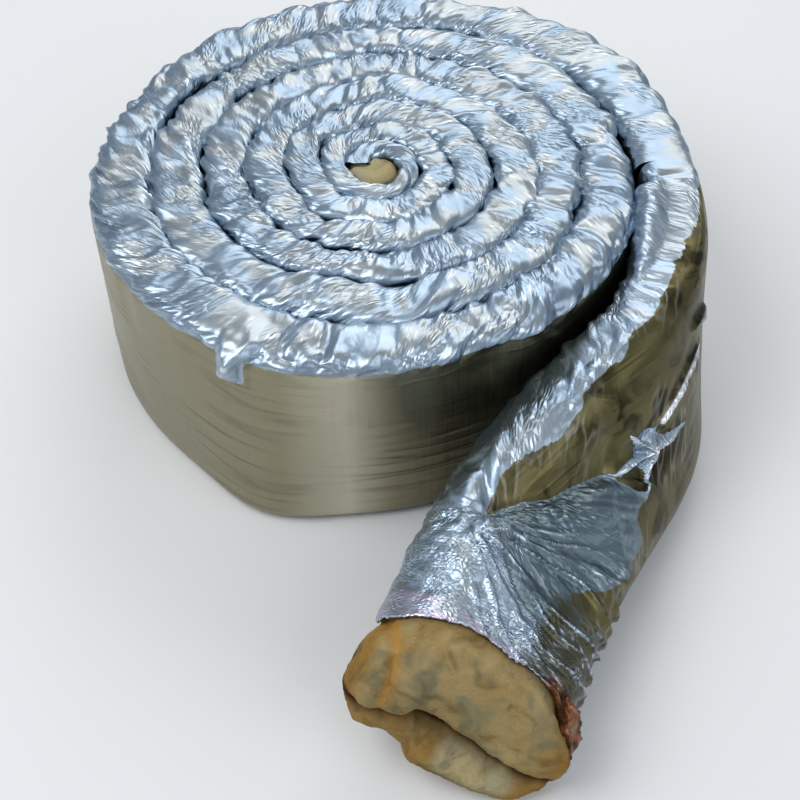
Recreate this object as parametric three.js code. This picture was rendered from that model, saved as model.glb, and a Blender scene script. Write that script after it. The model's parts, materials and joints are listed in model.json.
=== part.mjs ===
// Duct insulation sleeve, pressed flat and wound up on edge.
// A tube of glass wool lies inside a tube of metallised film. The flattened sleeve is wound into
// a coil whose axis is vertical. Its free outer end unwinds, turns over onto its side and ends in
// an open mouth, from which the wool sticks out as two lips pressed together.
// The coil is one solid whose turns show on its ends, as crowns with grooves between them. The
// wool is modelled where it shows: in the free end, and where its inner end fills the eye.
// Millimetres, +Z up. The sleeve is laid out from the coil's axis, and the origin is the middle of
// the whole footprint, on the floor.

import * as THREE from "three";
import { mergeVertices } from "three/addons/utils/BufferGeometryUtils.js";

// ---- Driving dimensions -------------------------------------------------------------------

// The sleeve
const DUCT_DIAMETER = 127; // bore of the sleeve when it is round, for a 5 inch duct
const WOOL_THICKNESS = 33; // one wall of wool, at full loft
const FILM_WALL = 0.8; // the film tube
const FILM_CLEARANCE = 0.3; // between the film and the wool

// The coil
const TURNS = 6.5;
const EYE_RADIUS = 9; // where the sleeve's inner end starts
const INNER_PITCH = 30.5; // from turn to turn at the eye, where the wool is pressed hardest
const STEPS_PER_TURN = 24;
const LEAVING_TURN_ANGLE = 0; // where the free end leaves the coil, from +X, in degrees
const GROOVE_ANGLE = 72; // how far a crown rounds over before it meets the next, in degrees
const ROUNDING_STEPS = 4; // steps in which a groove opens into a side that rounds all the way

// The outer turns sag out of round: each bulge has its direction and half width in degrees, and
// how far the top and the foot of the outside stand out
const BULGES = [
  { angle: 248, width: 15, top: 9, foot: 40 },
  { angle: 42, width: 20, top: 13, foot: 13 },
  { angle: 120, width: 42, top: -15, foot: -15 },
  { angle: 292, width: 18, top: -12, foot: -10 },
];
const BULGE_FADE = 4; // power of the radius with which they die out towards the eye

// The free end
const TAIL_STEPS = 26;
const LEAVING_ANGLE = 7; // how far it swings outward where it leaves, in degrees
const LEAVING_HANDLE = 320; // stretch over which it keeps that direction
const MOUTH_AHEAD = 577; // middle of the film's mouth, from where the free end leaves
const MOUTH_INWARD = 240;
const MOUTH_HEADING = 19; // how far the mouth turns inward, in degrees
const MOUTH_HANDLE = 350; // stretch over which it keeps that direction
const MOUTH_THICKNESS = 135; // the film tube where it opens up
const MOUTH_SKEW = 13; // how far the end is cut out of square, in degrees
const SKEW_START = 0.5; // share of the free end at which the skew begins
const FULL_LEAN = 77; // how far the sleeve turns over, in degrees
const LEAN_START = 0.01; // shares of the free end between which it turns over
const LEAN_END = 1.24;

// The wool's two ends
const WOOL_REACH = 84; // how far the wool sticks out of the mouth
const WOOL_SHIFT = 16; // how far it creeps towards the coil there
const LIP_ROUNDING = 22; // radius of the outer rim of its lips
const SLIT_WIDTH = 5; // where the pressed bore opens
const SLIT_DEPTH = 34;
const SLIT_BRIDGE = 26; // wool at either end of the slit
const LIP_STEPS = 4;
const EYE_WOOL_ROUNDING = 6;
const EYE_WOOL_DROP = 4; // how far it stays below the crowns

// The flattened section: two flat sides and two crowns, each crown with a narrow land
const CROWN_SHARES = [1, 0.72, 0.46]; // points from the crown's edge to its land
const LAND_ANGLE = 18;

// ---- Values worked out from them ----------------------------------------------------------

const radians = THREE.MathUtils.degToRad;
const OUTER_PITCH = 2 * WOOL_THICKNESS;
const SLEEVE_GIRTH = Math.PI * (DUCT_DIAMETER + 2 * WOOL_THICKNESS);
const SLEEVE_HEIGHT = flatWidth(OUTER_PITCH);
const COIL_STEPS = Math.round(TURNS * STEPS_PER_TURN);
const WOOL_INSET = FILM_WALL + FILM_CLEARANCE;
const UP = new THREE.Vector3(0, 0, 1);

// Width of the sleeve when it is pressed to a thickness: its girth stays the same.
function flatWidth(thickness) {
  return SLEEVE_GIRTH / 2 - (Math.PI / 2 - 1) * thickness;
}

// Radius of the sleeve's middle line in the coil, a number of turns out from its inner end: the
// pitch summed up.
function radiusAt(turn) {
  const start = EYE_RADIUS + INNER_PITCH / 2;
  return start + INNER_PITCH * turn + ((OUTER_PITCH - INNER_PITCH) * turn * turn) / (2 * TURNS);
}

// Radius of the groove on the inner side of a turn.
function grooveRadius(turn) {
  return radiusAt(turn - 0.5);
}

// How far a point of the coil stands out of round.
function bulgeAt(angle, radius, height) {
  const outside = radiusAt(TURNS) + OUTER_PITCH / 2;
  let bulge = 0;
  for (const { angle: middle, width, top, foot } of BULGES) {
    const away = THREE.MathUtils.euclideanModulo(angle - middle + 180, 360) - 180;
    bulge += THREE.MathUtils.lerp(foot, top, height / SLEEVE_HEIGHT) * Math.exp(-((away / width) ** 2));
  }
  return bulge * (radius / outside) ** BULGE_FADE;
}

// ---- Outlines -----------------------------------------------------------------------------

const OUTLINE_COUNT = 4 * (CROWN_SHARES.length + 1);
const CROWN_COUNT = OUTLINE_COUNT / 2;
const LAND_COSINE = Math.cos(radians(LAND_ANGLE));

// The edge of a crown of some half width: the angle to which it rounds over, and how far it has
// dropped from its land there.
function crownEdge(halfWidth, angle) {
  const radius = halfWidth / Math.sin(radians(angle));
  return { angle, drop: radius * (LAND_COSINE - Math.cos(radians(angle))) };
}

// The outline across the sleeve at a place, which holds its middle, the way its outer side faces
// and the way its upper edge points. The upper crown comes first, from its outer edge inwards,
// and then the lower crown, from its inner edge outwards.
function outline(place, halfThickness, halfHeight, outerEdge, innerEdge) {
  const points = [];
  const addPoint = (end, sign, edge, degrees) => {
    const across = Math.sin(radians(degrees)) / Math.sin(radians(edge.angle));
    const fallen = LAND_COSINE - Math.cos(radians(degrees));
    const drop = (edge.drop * fallen) / (LAND_COSINE - Math.cos(radians(edge.angle)));
    const point = place.middle.clone();
    point.addScaledVector(place.side, sign * halfThickness * across);
    points.push(point.addScaledVector(place.edge, end * (halfHeight - drop)));
  };
  for (const end of [1, -1]) {
    const [first, second] = end > 0 ? [outerEdge, innerEdge] : [innerEdge, outerEdge];
    const angles = (edge) => [...CROWN_SHARES.map((share) => share * edge.angle), LAND_ANGLE];
    for (const degrees of angles(first)) {
      addPoint(end, end, first, degrees);
    }
    for (const degrees of angles(second).reverse()) {
      addPoint(end, -end, second, degrees);
    }
  }
  return points;
}

// How far a crown rounds over, a number of steps from where its side comes free.
function edgeAngleAfter(steps) {
  return THREE.MathUtils.lerp(GROOVE_ANGLE, 90, THREE.MathUtils.clamp(steps / ROUNDING_STEPS, 0, 1));
}

// The boundary that lies on the inner side of a step of the coil, and on the outer side of the
// step one turn further in: a groove, or a free side at the eye and on the outside.
function boundary(step) {
  const turn = step / STEPS_PER_TURN;
  const freeSteps = step < STEPS_PER_TURN ? STEPS_PER_TURN - step : step - COIL_STEPS;
  const halfWidth = (grooveRadius(turn + 0.5) - grooveRadius(turn - 0.5)) / 2;
  return { radius: grooveRadius(turn), edge: crownEdge(halfWidth, edgeAngleAfter(freeSteps)) };
}

// The outline of one step of the coil, out of round.
function coilOutline(step) {
  const inner = boundary(step);
  const outer = boundary(step + STEPS_PER_TURN);
  const angle = LEAVING_TURN_ANGLE + (360 * ((COIL_STEPS - step) % STEPS_PER_TURN)) / STEPS_PER_TURN;
  const side = new THREE.Vector3(Math.cos(radians(angle)), Math.sin(radians(angle)), 0);
  const middle = side.clone().multiplyScalar((inner.radius + outer.radius) / 2);
  middle.z = SLEEVE_HEIGHT / 2;
  const halfThickness = (outer.radius - inner.radius) / 2;
  const place = { middle, side, edge: UP };
  const points = outline(place, halfThickness, SLEEVE_HEIGHT / 2, outer.edge, inner.edge);
  for (const point of points) {
    point.addScaledVector(side, bulgeAt(angle, point.dot(side), point.z));
  }
  return points;
}

// ---- The free end -------------------------------------------------------------------------

// A level direction at an angle from the one in which the coil's last step runs, turned inward.
function levelDirection(degrees) {
  return new THREE.Vector3(0, -1, 0).applyAxisAngle(UP, radians(LEAVING_TURN_ANGLE - degrees));
}

// The free end's middle line in plan.
function tailPlan() {
  const middle = (grooveRadius(TURNS) + grooveRadius(TURNS + 1)) / 2;
  const start = levelDirection(-90).multiplyScalar(middle);
  const mouth = start.clone();
  mouth.addScaledVector(levelDirection(0), MOUTH_AHEAD);
  mouth.addScaledVector(levelDirection(90), MOUTH_INWARD);
  return new THREE.CubicBezierCurve3(
    start,
    start.clone().addScaledVector(levelDirection(-LEAVING_ANGLE), LEAVING_HANDLE),
    mouth.clone().addScaledVector(levelDirection(MOUTH_HEADING), -MOUTH_HANDLE),
    mouth,
  );
}

// A place of the free end, at a share of its length or a distance past its mouth. The sleeve leans
// over towards its inner side, its lower edge stays on the floor, and it opens up.
function tailPlace(plan, share, past = 0) {
  const tangent = plan.getTangentAt(share);
  const skew = MOUTH_SKEW * THREE.MathUtils.smoothstep(share, SKEW_START, 1);
  const outward = new THREE.Vector3(-tangent.y, tangent.x, 0).applyAxisAngle(UP, -radians(skew));
  const opened = THREE.MathUtils.smoothstep(share, 0, 1);
  const lean = radians(FULL_LEAN) * THREE.MathUtils.smoothstep(share, LEAN_START, LEAN_END);
  const thickness = THREE.MathUtils.lerp(OUTER_PITCH, MOUTH_THICKNESS, opened);
  const height = THREE.MathUtils.lerp(SLEEVE_HEIGHT, flatWidth(MOUTH_THICKNESS), opened);
  const place = {
    middle: plan.getPointAt(share).addScaledVector(tangent, past),
    side: outward.clone().multiplyScalar(Math.cos(lean)).addScaledVector(UP, Math.sin(lean)),
    edge: UP.clone().multiplyScalar(Math.cos(lean)).addScaledVector(outward, -Math.sin(lean)),
    halfThickness: thickness / 2,
    halfHeight: height / 2,
  };
  const lowest = Math.min(...tailOutline(place, 0).map((point) => point.z));
  place.middle.z = -lowest;
  return place;
}

// The outline of a place of the free end, drawn in by an inset.
function tailOutline(place, inset, innerAngle = 90) {
  const halfThickness = place.halfThickness - inset;
  const outerEdge = crownEdge(halfThickness, 90);
  const innerEdge = crownEdge(halfThickness, innerAngle);
  return outline(place, halfThickness, place.halfHeight - inset, outerEdge, innerEdge);
}

// ---- Bodies from rings of points ----------------------------------------------------------

// The faces between two rings, from one point of them to another.
function bandFaces(ring, next, from, to) {
  const faces = [];
  for (let i = from; i < to; i++) {
    const j = (i + 1) % ring.length;
    faces.push([ring[i], ring[j], next[j]], [ring[i], next[j], next[i]]);
  }
  return faces;
}

// The cap over a ring, facing back against the winding.
function capFaces(ring) {
  const faces = [];
  for (let i = 1; i < ring.length - 1; i++) {
    faces.push([ring[0], ring[i + 1], ring[i]]);
  }
  return faces;
}

function reversed(faces) {
  return faces.map(([a, b, c]) => [a, c, b]);
}

function bodyMesh(name, faces, material) {
  const soup = new THREE.BufferGeometry().setFromPoints(faces.flat());
  const geometry = mergeVertices(soup, 1e-6);
  geometry.computeVertexNormals();
  const mesh = new THREE.Mesh(geometry, new THREE.MeshStandardMaterial(material));
  mesh.name = name;
  return mesh;
}

const FILM = { color: 0xb4bcc4, roughness: 0.28, metalness: 1 };
const WOOL = { color: 0xd2b478, roughness: 0.95, metalness: 0 };

// ---- The film jacket: the wound coil, and the tube of the free end -------------------------

function filmJacket(plan) {
  const rings = [];
  for (let step = 0; step <= COIL_STEPS; step++) {
    rings.push(coilOutline(step));
  }
  const inside = [];
  for (let step = 1; step <= TAIL_STEPS; step++) {
    const place = tailPlace(plan, step / TAIL_STEPS);
    rings.push(tailOutline(place, 0, edgeAngleAfter(step)));
    inside.push(tailOutline(place, FILM_WALL));
  }

  const faces = capFaces(rings[0]);
  for (let step = 0; step < rings.length - 1; step++) {
    const band = (from, to) => faces.push(...bandFaces(rings[step], rings[step + 1], from, to));
    band(0, CROWN_COUNT - 1);
    band(CROWN_COUNT, OUTLINE_COUNT - 1);
    if (step < STEPS_PER_TURN || step >= COIL_STEPS) {
      band(CROWN_COUNT - 1, CROWN_COUNT);
    }
    if (step >= COIL_STEPS - STEPS_PER_TURN) {
      band(OUTLINE_COUNT - 1, OUTLINE_COUNT);
    }
  }

  // the open tube, from where it has left the coil to its rim
  faces.push(...reversed(capFaces(inside[0])));
  for (let step = 0; step < inside.length - 1; step++) {
    faces.push(...reversed(bandFaces(inside[step], inside[step + 1], 0, OUTLINE_COUNT)));
  }
  faces.push(...bandFaces(rings.at(-1), inside.at(-1), 0, OUTLINE_COUNT));
  return bodyMesh("film_jacket", faces, FILM);
}

// ---- The wool in the free end -------------------------------------------------------------

// A ring of the wool that sticks out: how far past the mouth, and how far drawn in.
function woolEndRing(plan, past, thicknessInset, heightInset) {
  const place = tailPlace(plan, 1, past);
  place.middle.addScaledVector(place.edge, (WOOL_SHIFT * past) / WOOL_REACH);
  const halfThickness = place.halfThickness - thicknessInset;
  const edge = crownEdge(halfThickness, 90);
  return outline(place, halfThickness, place.halfHeight - heightInset, edge, edge);
}

function woolBlanket(plan) {
  const start = 1 / TAIL_STEPS;
  const rings = [tailOutline(tailPlace(plan, start, FILM_CLEARANCE), WOOL_INSET)];
  for (let step = 2; step <= TAIL_STEPS; step++) {
    rings.push(tailOutline(tailPlace(plan, step / TAIL_STEPS), WOOL_INSET));
  }
  // round the outer rim of the lips
  for (let step = 0; step <= LIP_STEPS; step++) {
    const angle = radians((90 * step) / LIP_STEPS);
    const inset = WOOL_INSET + LIP_ROUNDING * (1 - Math.cos(angle));
    rings.push(woolEndRing(plan, WOOL_REACH - LIP_ROUNDING * (1 - Math.sin(angle)), inset, inset));
  }
  // and on into the slit between them
  const slitInset = MOUTH_THICKNESS / 2 - SLIT_WIDTH / 2;
  const rimInset = WOOL_INSET + LIP_ROUNDING;
  for (let step = 1; step <= LIP_STEPS; step++) {
    const angle = radians((90 * step) / LIP_STEPS);
    const thicknessInset = THREE.MathUtils.lerp(rimInset, slitInset, Math.sin(angle));
    const heightInset = THREE.MathUtils.lerp(rimInset, rimInset + SLIT_BRIDGE, Math.sin(angle));
    const past = WOOL_REACH - SLIT_DEPTH * (1 - Math.cos(angle));
    rings.push(woolEndRing(plan, past, thicknessInset, heightInset));
  }

  const faces = capFaces(rings[0]);
  for (let step = 0; step < rings.length - 1; step++) {
    faces.push(...bandFaces(rings[step], rings[step + 1], 0, OUTLINE_COUNT));
  }
  faces.push(...reversed(capFaces(rings.at(-1))));
  return bodyMesh("wool_blanket", faces, WOOL);
}

// ---- The wool's inner end, which swells out of the sleeve and fills the eye -----------------

function eyeWool() {
  const outlineInPlan = new THREE.Shape();
  for (let step = 0; step <= STEPS_PER_TURN; step++) {
    const radius = grooveRadius(step / STEPS_PER_TURN);
    const angle = radians(LEAVING_TURN_ANGLE + (360 * (COIL_STEPS - step)) / STEPS_PER_TURN);
    const [x, y] = [radius * Math.cos(angle), radius * Math.sin(angle)];
    if (step === 0) {
      outlineInPlan.moveTo(x, y);
    } else {
      outlineInPlan.lineTo(x, y);
    }
  }
  const geometry = new THREE.ExtrudeGeometry(outlineInPlan, {
    depth: SLEEVE_HEIGHT - 2 * (EYE_WOOL_DROP + EYE_WOOL_ROUNDING),
    bevelThickness: EYE_WOOL_ROUNDING,
    bevelSize: EYE_WOOL_ROUNDING,
    bevelOffset: -EYE_WOOL_ROUNDING - WOOL_INSET,
    bevelSegments: 3,
  });
  const mesh = new THREE.Mesh(geometry, new THREE.MeshStandardMaterial(WOOL));
  mesh.name = "wool_inner_end";
  mesh.position.z = EYE_WOOL_DROP + EYE_WOOL_ROUNDING;
  return mesh;
}

const plan = tailPlan();
const roll = new THREE.Group();
roll.add(filmJacket(plan), woolBlanket(plan), eyeWool());
const footprint = new THREE.Box3().setFromObject(roll).getCenter(new THREE.Vector3());
roll.position.set(-footprint.x, -footprint.y, 0);

export default roll;
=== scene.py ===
"""A wound duct insulation sleeve: its crinkled film, the wool at its ends, and the stage."""

import json
import math

import bpy
import numpy as np
from bpy.props import FloatProperty, FloatVectorProperty, PointerProperty
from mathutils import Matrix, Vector, noise

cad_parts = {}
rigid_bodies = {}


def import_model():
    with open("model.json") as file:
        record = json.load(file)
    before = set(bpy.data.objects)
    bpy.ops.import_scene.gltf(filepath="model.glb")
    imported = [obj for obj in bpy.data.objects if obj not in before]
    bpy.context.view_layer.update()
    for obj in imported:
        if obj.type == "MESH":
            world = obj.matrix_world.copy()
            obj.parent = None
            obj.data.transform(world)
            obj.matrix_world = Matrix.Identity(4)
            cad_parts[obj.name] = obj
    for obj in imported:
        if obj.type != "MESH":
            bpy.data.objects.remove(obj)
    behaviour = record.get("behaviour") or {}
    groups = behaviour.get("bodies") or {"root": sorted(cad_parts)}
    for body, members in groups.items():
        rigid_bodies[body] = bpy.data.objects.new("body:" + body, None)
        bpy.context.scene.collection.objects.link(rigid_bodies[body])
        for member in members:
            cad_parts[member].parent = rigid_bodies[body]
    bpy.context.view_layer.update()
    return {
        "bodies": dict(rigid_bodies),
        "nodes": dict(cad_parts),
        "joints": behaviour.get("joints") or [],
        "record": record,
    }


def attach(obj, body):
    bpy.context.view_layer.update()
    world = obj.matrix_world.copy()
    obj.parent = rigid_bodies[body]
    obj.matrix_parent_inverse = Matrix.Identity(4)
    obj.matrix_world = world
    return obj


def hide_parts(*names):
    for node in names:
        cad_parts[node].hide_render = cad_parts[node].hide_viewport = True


bl_info = {
    "name": "Insulation Roll",
    "version": (1, 0, 0),
    "blender": (4, 5, 0),
    "location": "View3D > Sidebar > Roll",
    "description": "Builds a wound duct insulation sleeve with its free end turned over",
    "category": "Object",
}

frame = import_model()

BODY = "root"


# ---- Sizes and colours a user would change --------------------------------------------------


def length(name, description, default):
    """A size in metres."""
    return FloatProperty(name=name, description=description, default=default, unit="LENGTH")


def turned(name, description, degrees):
    """An angle, kept in radians."""
    value = math.radians(degrees)
    return FloatProperty(name=name, description=description, default=value, subtype="ANGLE")


def number(name, description, default):
    return FloatProperty(name=name, description=description, default=default)


def tint(name, description, default):
    """A colour, as linear values."""
    return FloatVectorProperty(
        name=name, description=description, default=default, subtype="COLOR", min=0, max=1
    )


class CoilSizes(bpy.types.PropertyGroup):
    """The sleeve and the coil it is wound into."""

    height: length("Height", "Width of the flattened sleeve, upright in the coil", 0.2655)
    girth: length("Girth", "Way round the film tube", 0.6063)
    axis_x: length("Axis X", "Where the coil's axis stands", -0.0254)
    axis_y: length("Axis Y", "Where the coil's axis stands", 0.1759)
    turns: number("Turns", "Turns in the coil", 6.5)
    eye: length("Eye", "Radius at which the sleeve's inner end starts", 0.009)
    inner_pitch: length("Inner pitch", "From turn to turn at the eye", 0.0305)
    outer_pitch: length("Outer pitch", "From turn to turn at the outside", 0.066)
    slip: length("Slip", "How far the middle turns have crept towards the eye", 0.009)


class FreeEndSizes(bpy.types.PropertyGroup):
    """The end that has come unwound and turned over."""

    leaving_angle: turned("Leaving angle", "How far it swings outward where it leaves", 7)
    leaving_handle: length("Leaving handle", "Stretch that keeps that direction", 0.320)
    ahead: length("Ahead", "From where it leaves to its mouth, straight on", 0.577)
    inward: length("Inward", "From where it leaves to its mouth, inward", 0.240)
    heading: turned("Heading", "How far the mouth turns inward", 19)
    mouth_handle: length("Mouth handle", "Stretch that keeps that direction", 0.350)
    thickness: length("Mouth thickness", "The film tube where it opens up", 0.135)
    skew: turned("Skew", "How far the mouth is out of square", 13)
    lean: turned("Lean", "How far the sleeve turns over", 77)
    lean_start: number("Lean start", "Share of the free end at which it starts to lean", 0.01)
    lean_end: number("Lean end", "Share of the free end at which it would lie over", 1.24)


class WoolSizes(bpy.types.PropertyGroup):
    """The glass wool where it shows."""

    crack_depth: length("Crack depth", "How deep the crack between the lips is", 0.026)
    swell: length("Swell", "How far the wool swells outside the film", 0.008)
    voxel: length("Voxel", "Size to which the wool is remeshed", 0.003)


class Finish(bpy.types.PropertyGroup):
    """Colours of the film and the wool, some of which stand for painted light and shade."""

    silver: tint("Silver", "The crushed film", (0.36, 0.45, 0.54))
    # shade and gleam end the facets' tone: partly random, partly painted reflection and shine
    shade: tint("Shade", "Its darker facets", (0.26, 0.34, 0.42))
    gleam: tint("Gleam", "Its lighter facets", (0.50, 0.61, 0.72))
    # bright is painted highlight: along convex folds, sparkling flecks, the ridge and the star
    bright: tint("Bright", "Its sharp creases", (0.95, 0.97, 1.0))
    shadow: tint("Shadow", "Its folded-in creases", (0.10, 0.15, 0.21))
    # beige is partly the painted warm reflection of up-facing facets, partly pale scratches
    beige: tint("Beige", "Its warmer facets", (0.43, 0.43, 0.39))
    # dark is painted shade, down in the grooves between turns
    dark: tint("Dark", "The film down in the grooves", (0.03, 0.05, 0.065))
    tan: tint("Tan", "The film where it is stretched flat", (0.29, 0.265, 0.18))
    tan_light: tint("Light tan", "The band where it shines", (0.60, 0.57, 0.45))
    # the dark tan is painted shade on both sides of the shining band
    tan_painted_shade: tint("Dark tan", "The stretched film on both sides", (0.25, 0.23, 0.145))
    olive: tint("Olive", "The stretched film of the free end", (0.085, 0.074, 0.034))
    # teal is painted shade over the pleated stretch of the free end
    teal: tint("Teal", "The film between the pleats", (0.15, 0.21, 0.23))
    lilac: tint("Lilac", "The hem at the mouth", (0.62, 0.48, 0.60))
    copper: tint("Copper", "The film's inner side", (0.30, 0.12, 0.05))
    cream: tint("Cream", "Clean wool", (0.36, 0.265, 0.115))
    amber: tint("Amber", "Wool soaked with binder", (0.30, 0.165, 0.035))
    dusty: tint("Dusty", "Dusty patches of the wool", (0.17, 0.175, 0.11))
    brown: tint("Brown", "Brown patches of the wool", (0.115, 0.078, 0.026))
    pale: tint("Pale", "The palest lumps of the wool", (0.45, 0.42, 0.26))
    orange: tint("Orange", "The seam across the wool", (0.50, 0.25, 0.045))
    # crack is painted shade, deep in the wool's crack and down the lower lip
    crack: tint("Crack", "Deep in the wool's crack", (0.050, 0.016, 0.005))


# ---- Node trees -----------------------------------------------------------------------------


class Wire:
    """An output of a node. Arithmetic on it adds Math nodes to its tree."""

    def __init__(self, plan, socket):
        self.plan = plan
        self.socket = socket

    def other(self, output):
        """Another output of the same node."""
        return Wire(self.plan, self.socket.node.outputs[output])

    def math(self, operation, *others, **settings):
        values = dict(enumerate((self, *others)))
        return self.plan.node("ShaderNodeMath", {"operation": operation, **settings}, values)

    def __add__(self, other):
        return self.math("ADD", other)

    def __sub__(self, other):
        return self.math("SUBTRACT", other)

    def __mul__(self, other):
        return self.math("MULTIPLY", other)

    def __truediv__(self, other):
        return self.math("DIVIDE", other)

    def __pow__(self, other):
        return self.math("POWER", other)

    def __neg__(self):
        return self.math("MULTIPLY", -1.0)

    def __rsub__(self, other):
        return self.plan.node("ShaderNodeMath", {"operation": "SUBTRACT"}, {0: other, 1: self})

    __radd__ = __add__
    __rmul__ = __mul__

    def size(self):
        return self.math("ABSOLUTE")

    def wave(self):
        """A triangle wave from 0 to 1, one a unit."""
        return self.math("PINGPONG", 0.5) * 2.0

    def clamped(self):
        return self.math("ADD", 0.0, use_clamp=True)

    def ramp(self, low, high, slope="LINEAR"):
        """0 below low, 1 above high, and a slope between."""
        values = {0: self, 1: low, 2: high, 3: 0.0, 4: 1.0}
        settings = {"clamp": True, "interpolation_type": slope}
        return self.plan.node("ShaderNodeMapRange", settings, values)

    def ease(self, low, high):
        """A ramp whose slope is soft at both ends."""
        return self.ramp(low, high, "SMOOTHSTEP")


class Plan:
    """A node tree that is being drawn up."""

    def __init__(self, tree):
        self.tree = tree

    def node(self, kind, settings=None, values=None, output=0):
        """Adds a node: its settings first, then what its sockets hold or are linked to."""
        node = self.tree.nodes.new(kind)
        for name, value in (settings or {}).items():
            if name == "stops":
                set_stops(node.color_ramp, value)
            else:
                setattr(node, name, value)
        self.fill(node, values or {})
        return Wire(self, node.outputs[output]) if node.outputs else None

    def fill(self, node, values):
        """Sets or links a node's inputs."""
        for key, value in values.items():
            socket = node.inputs[key]
            if isinstance(value, Wire):
                self.tree.links.new(value.socket, socket)
            elif socket.type == "RGBA":
                socket.default_value = (*value[:3], 1.0)
            else:
                socket.default_value = value

    def vector(self, x=0.0, y=0.0, z=0.0):
        return self.node("ShaderNodeCombineXYZ", {}, {0: x, 1: y, 2: z})

    def noise(self, vector, scale, detail=0.0, **values):
        """Noise from 0 to 1 with a mean of about a half."""
        inputs = {"Vector": vector, "Scale": scale, "Detail": detail}
        inputs.update({name.capitalize(): value for name, value in values.items()})
        return self.node("ShaderNodeTexNoise", {}, inputs)

    def creases(self, vector, scale, sharpness=4.0, detail=0.0):
        """1 along sharp ridges that wander through the surface, falling away on both sides."""
        away = (self.noise(vector, scale, detail) - 0.5).size() * sharpness
        return (1.0 - away).clamped()

    def cells(self, vector):
        """How far the edges of cells one unit wide are away."""
        settings = {"voronoi_dimensions": "2D", "feature": "DISTANCE_TO_EDGE"}
        values = {"Vector": vector, "Scale": 1.0}
        return self.node("ShaderNodeTexVoronoi", settings, values, "Distance")

    def vectors(self, operation, first, second):
        return self.node("ShaderNodeVectorMath", {"operation": operation}, {0: first, 1: second})

    def mixed(self, share, first, second):
        """A colour between two, each a wire or a linear colour."""
        values = {0: share, 6: first, 7: second}
        return self.node("ShaderNodeMix", {"data_type": "RGBA"}, values, output=2)

    def attribute(self, name):
        return self.node("ShaderNodeAttribute", {"attribute_name": name}, output="Fac")


def set_stops(ramp, stops):
    """Sets a colour ramp's stops, each a place and a colour."""
    while len(ramp.elements) > len(stops):
        ramp.elements.remove(ramp.elements[-1])
    while len(ramp.elements) < len(stops):
        ramp.elements.new(1.0)
    for element, (place, colour) in zip(ramp.elements, stops):
        element.position = place
        element.color = (*colour, 1.0)


class Rule(Plan):
    """A Geometry Nodes tree with named inputs, which ends in one mesh with a material."""

    def __init__(self, name, inputs):
        super().__init__(bpy.data.node_groups.new(name, "GeometryNodeTree"))
        self.sockets = {}
        for label, kind in inputs.items():
            socket = self.tree.interface.new_socket(label, in_out="INPUT", socket_type=kind)
            self.sockets[label] = socket.identifier
        out = {"in_out": "OUTPUT", "socket_type": "NodeSocketGeometry"}
        self.tree.interface.new_socket("Geometry", **out)
        source = self.node("NodeGroupInput")
        self.given = {label: source.other(label) for label in inputs}

    def store(self, geometry, name, value, kind="FLOAT", domain="POINT"):
        settings = {"data_type": kind, "domain": domain}
        values = {"Geometry": geometry, "Name": name, "Value": value}
        return self.node("GeometryNodeStoreNamedAttribute", settings, values)

    def stored(self, name):
        return self.node("GeometryNodeInputNamedAttribute", {"data_type": "FLOAT"}, {"Name": name})

    def end(self, geometry):
        """Shades the mesh smooth, gives it its material and hands it over."""
        values = {"Geometry": geometry, "Shade Smooth": True}
        shaded = self.node("GeometryNodeSetShadeSmooth", {}, values)
        real = self.node("GeometryNodeRealizeInstances", {}, {"Geometry": shaded})
        values = {"Geometry": real, "Material": self.given["Material"]}
        painted = self.node("GeometryNodeSetMaterial", {}, values)
        self.node("NodeGroupOutput", {}, {0: painted})

    def made(self, name, values, mesh=None):
        """Runs the tree on a mesh and returns its result as a plain object."""
        scene = bpy.context.scene
        holder = bpy.data.objects.new(name + "_rule", mesh or bpy.data.meshes.new(name + "_rule"))
        scene.collection.objects.link(holder)
        modifier = holder.modifiers.new("rule", "NODES")
        modifier.node_group = self.tree
        for label, value in values.items():
            modifier[self.sockets[label]] = value
        bpy.context.view_layer.update()
        evaluated = holder.evaluated_get(bpy.context.evaluated_depsgraph_get())
        plain = bpy.data.meshes.new_from_object(evaluated)
        plain.name = name
        bpy.data.objects.remove(holder)
        plain.materials.clear()
        plain.materials.append(values["Material"])
        if not plain.vertices:
            raise RuntimeError(f"the rule for {name} made nothing")
        piece = bpy.data.objects.new(name, plain)
        scene.collection.objects.link(piece)
        return piece


# ---- Crinkles -------------------------------------------------------------------------------


# The pattern of creases is made of cells, so many a metre along it and across it: facets and
# smaller ones, which are dents in the film, and puckers, which only its material has
FACETS = (23.0, 12.0, 0.0)
SMALL_FACETS = (50.0, 28.0, 0.0)
PUCKERS = (150.0, 90.0, 0.0)
# The dents' least depth and what an uneven place adds, for facets, and the depth of small ones
FACET_DEPTH = (0.006, 0.011)
SMALL_DEPTH = 0.0080
LINE_HEIGHT = 0.0014
# How far the pattern is drawn out of line
WARP = (0.040, 0.040, 0.0)


def warped(plan, fan, cross):
    """Places in the pattern of creases, drawn out of line as crushed film is."""
    place = plan.vector(fan, cross, 0.0)
    swirl = plan.node("ShaderNodeTexNoise", {}, {"Vector": place, "Scale": 14.0, "Detail": 1.0},
                      output="Color")
    centred = plan.vectors("SUBTRACT", swirl, (0.5, 0.5, 0.5))
    return plan.vectors("ADD", place, plan.vectors("MULTIPLY", centred, WARP))


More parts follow.
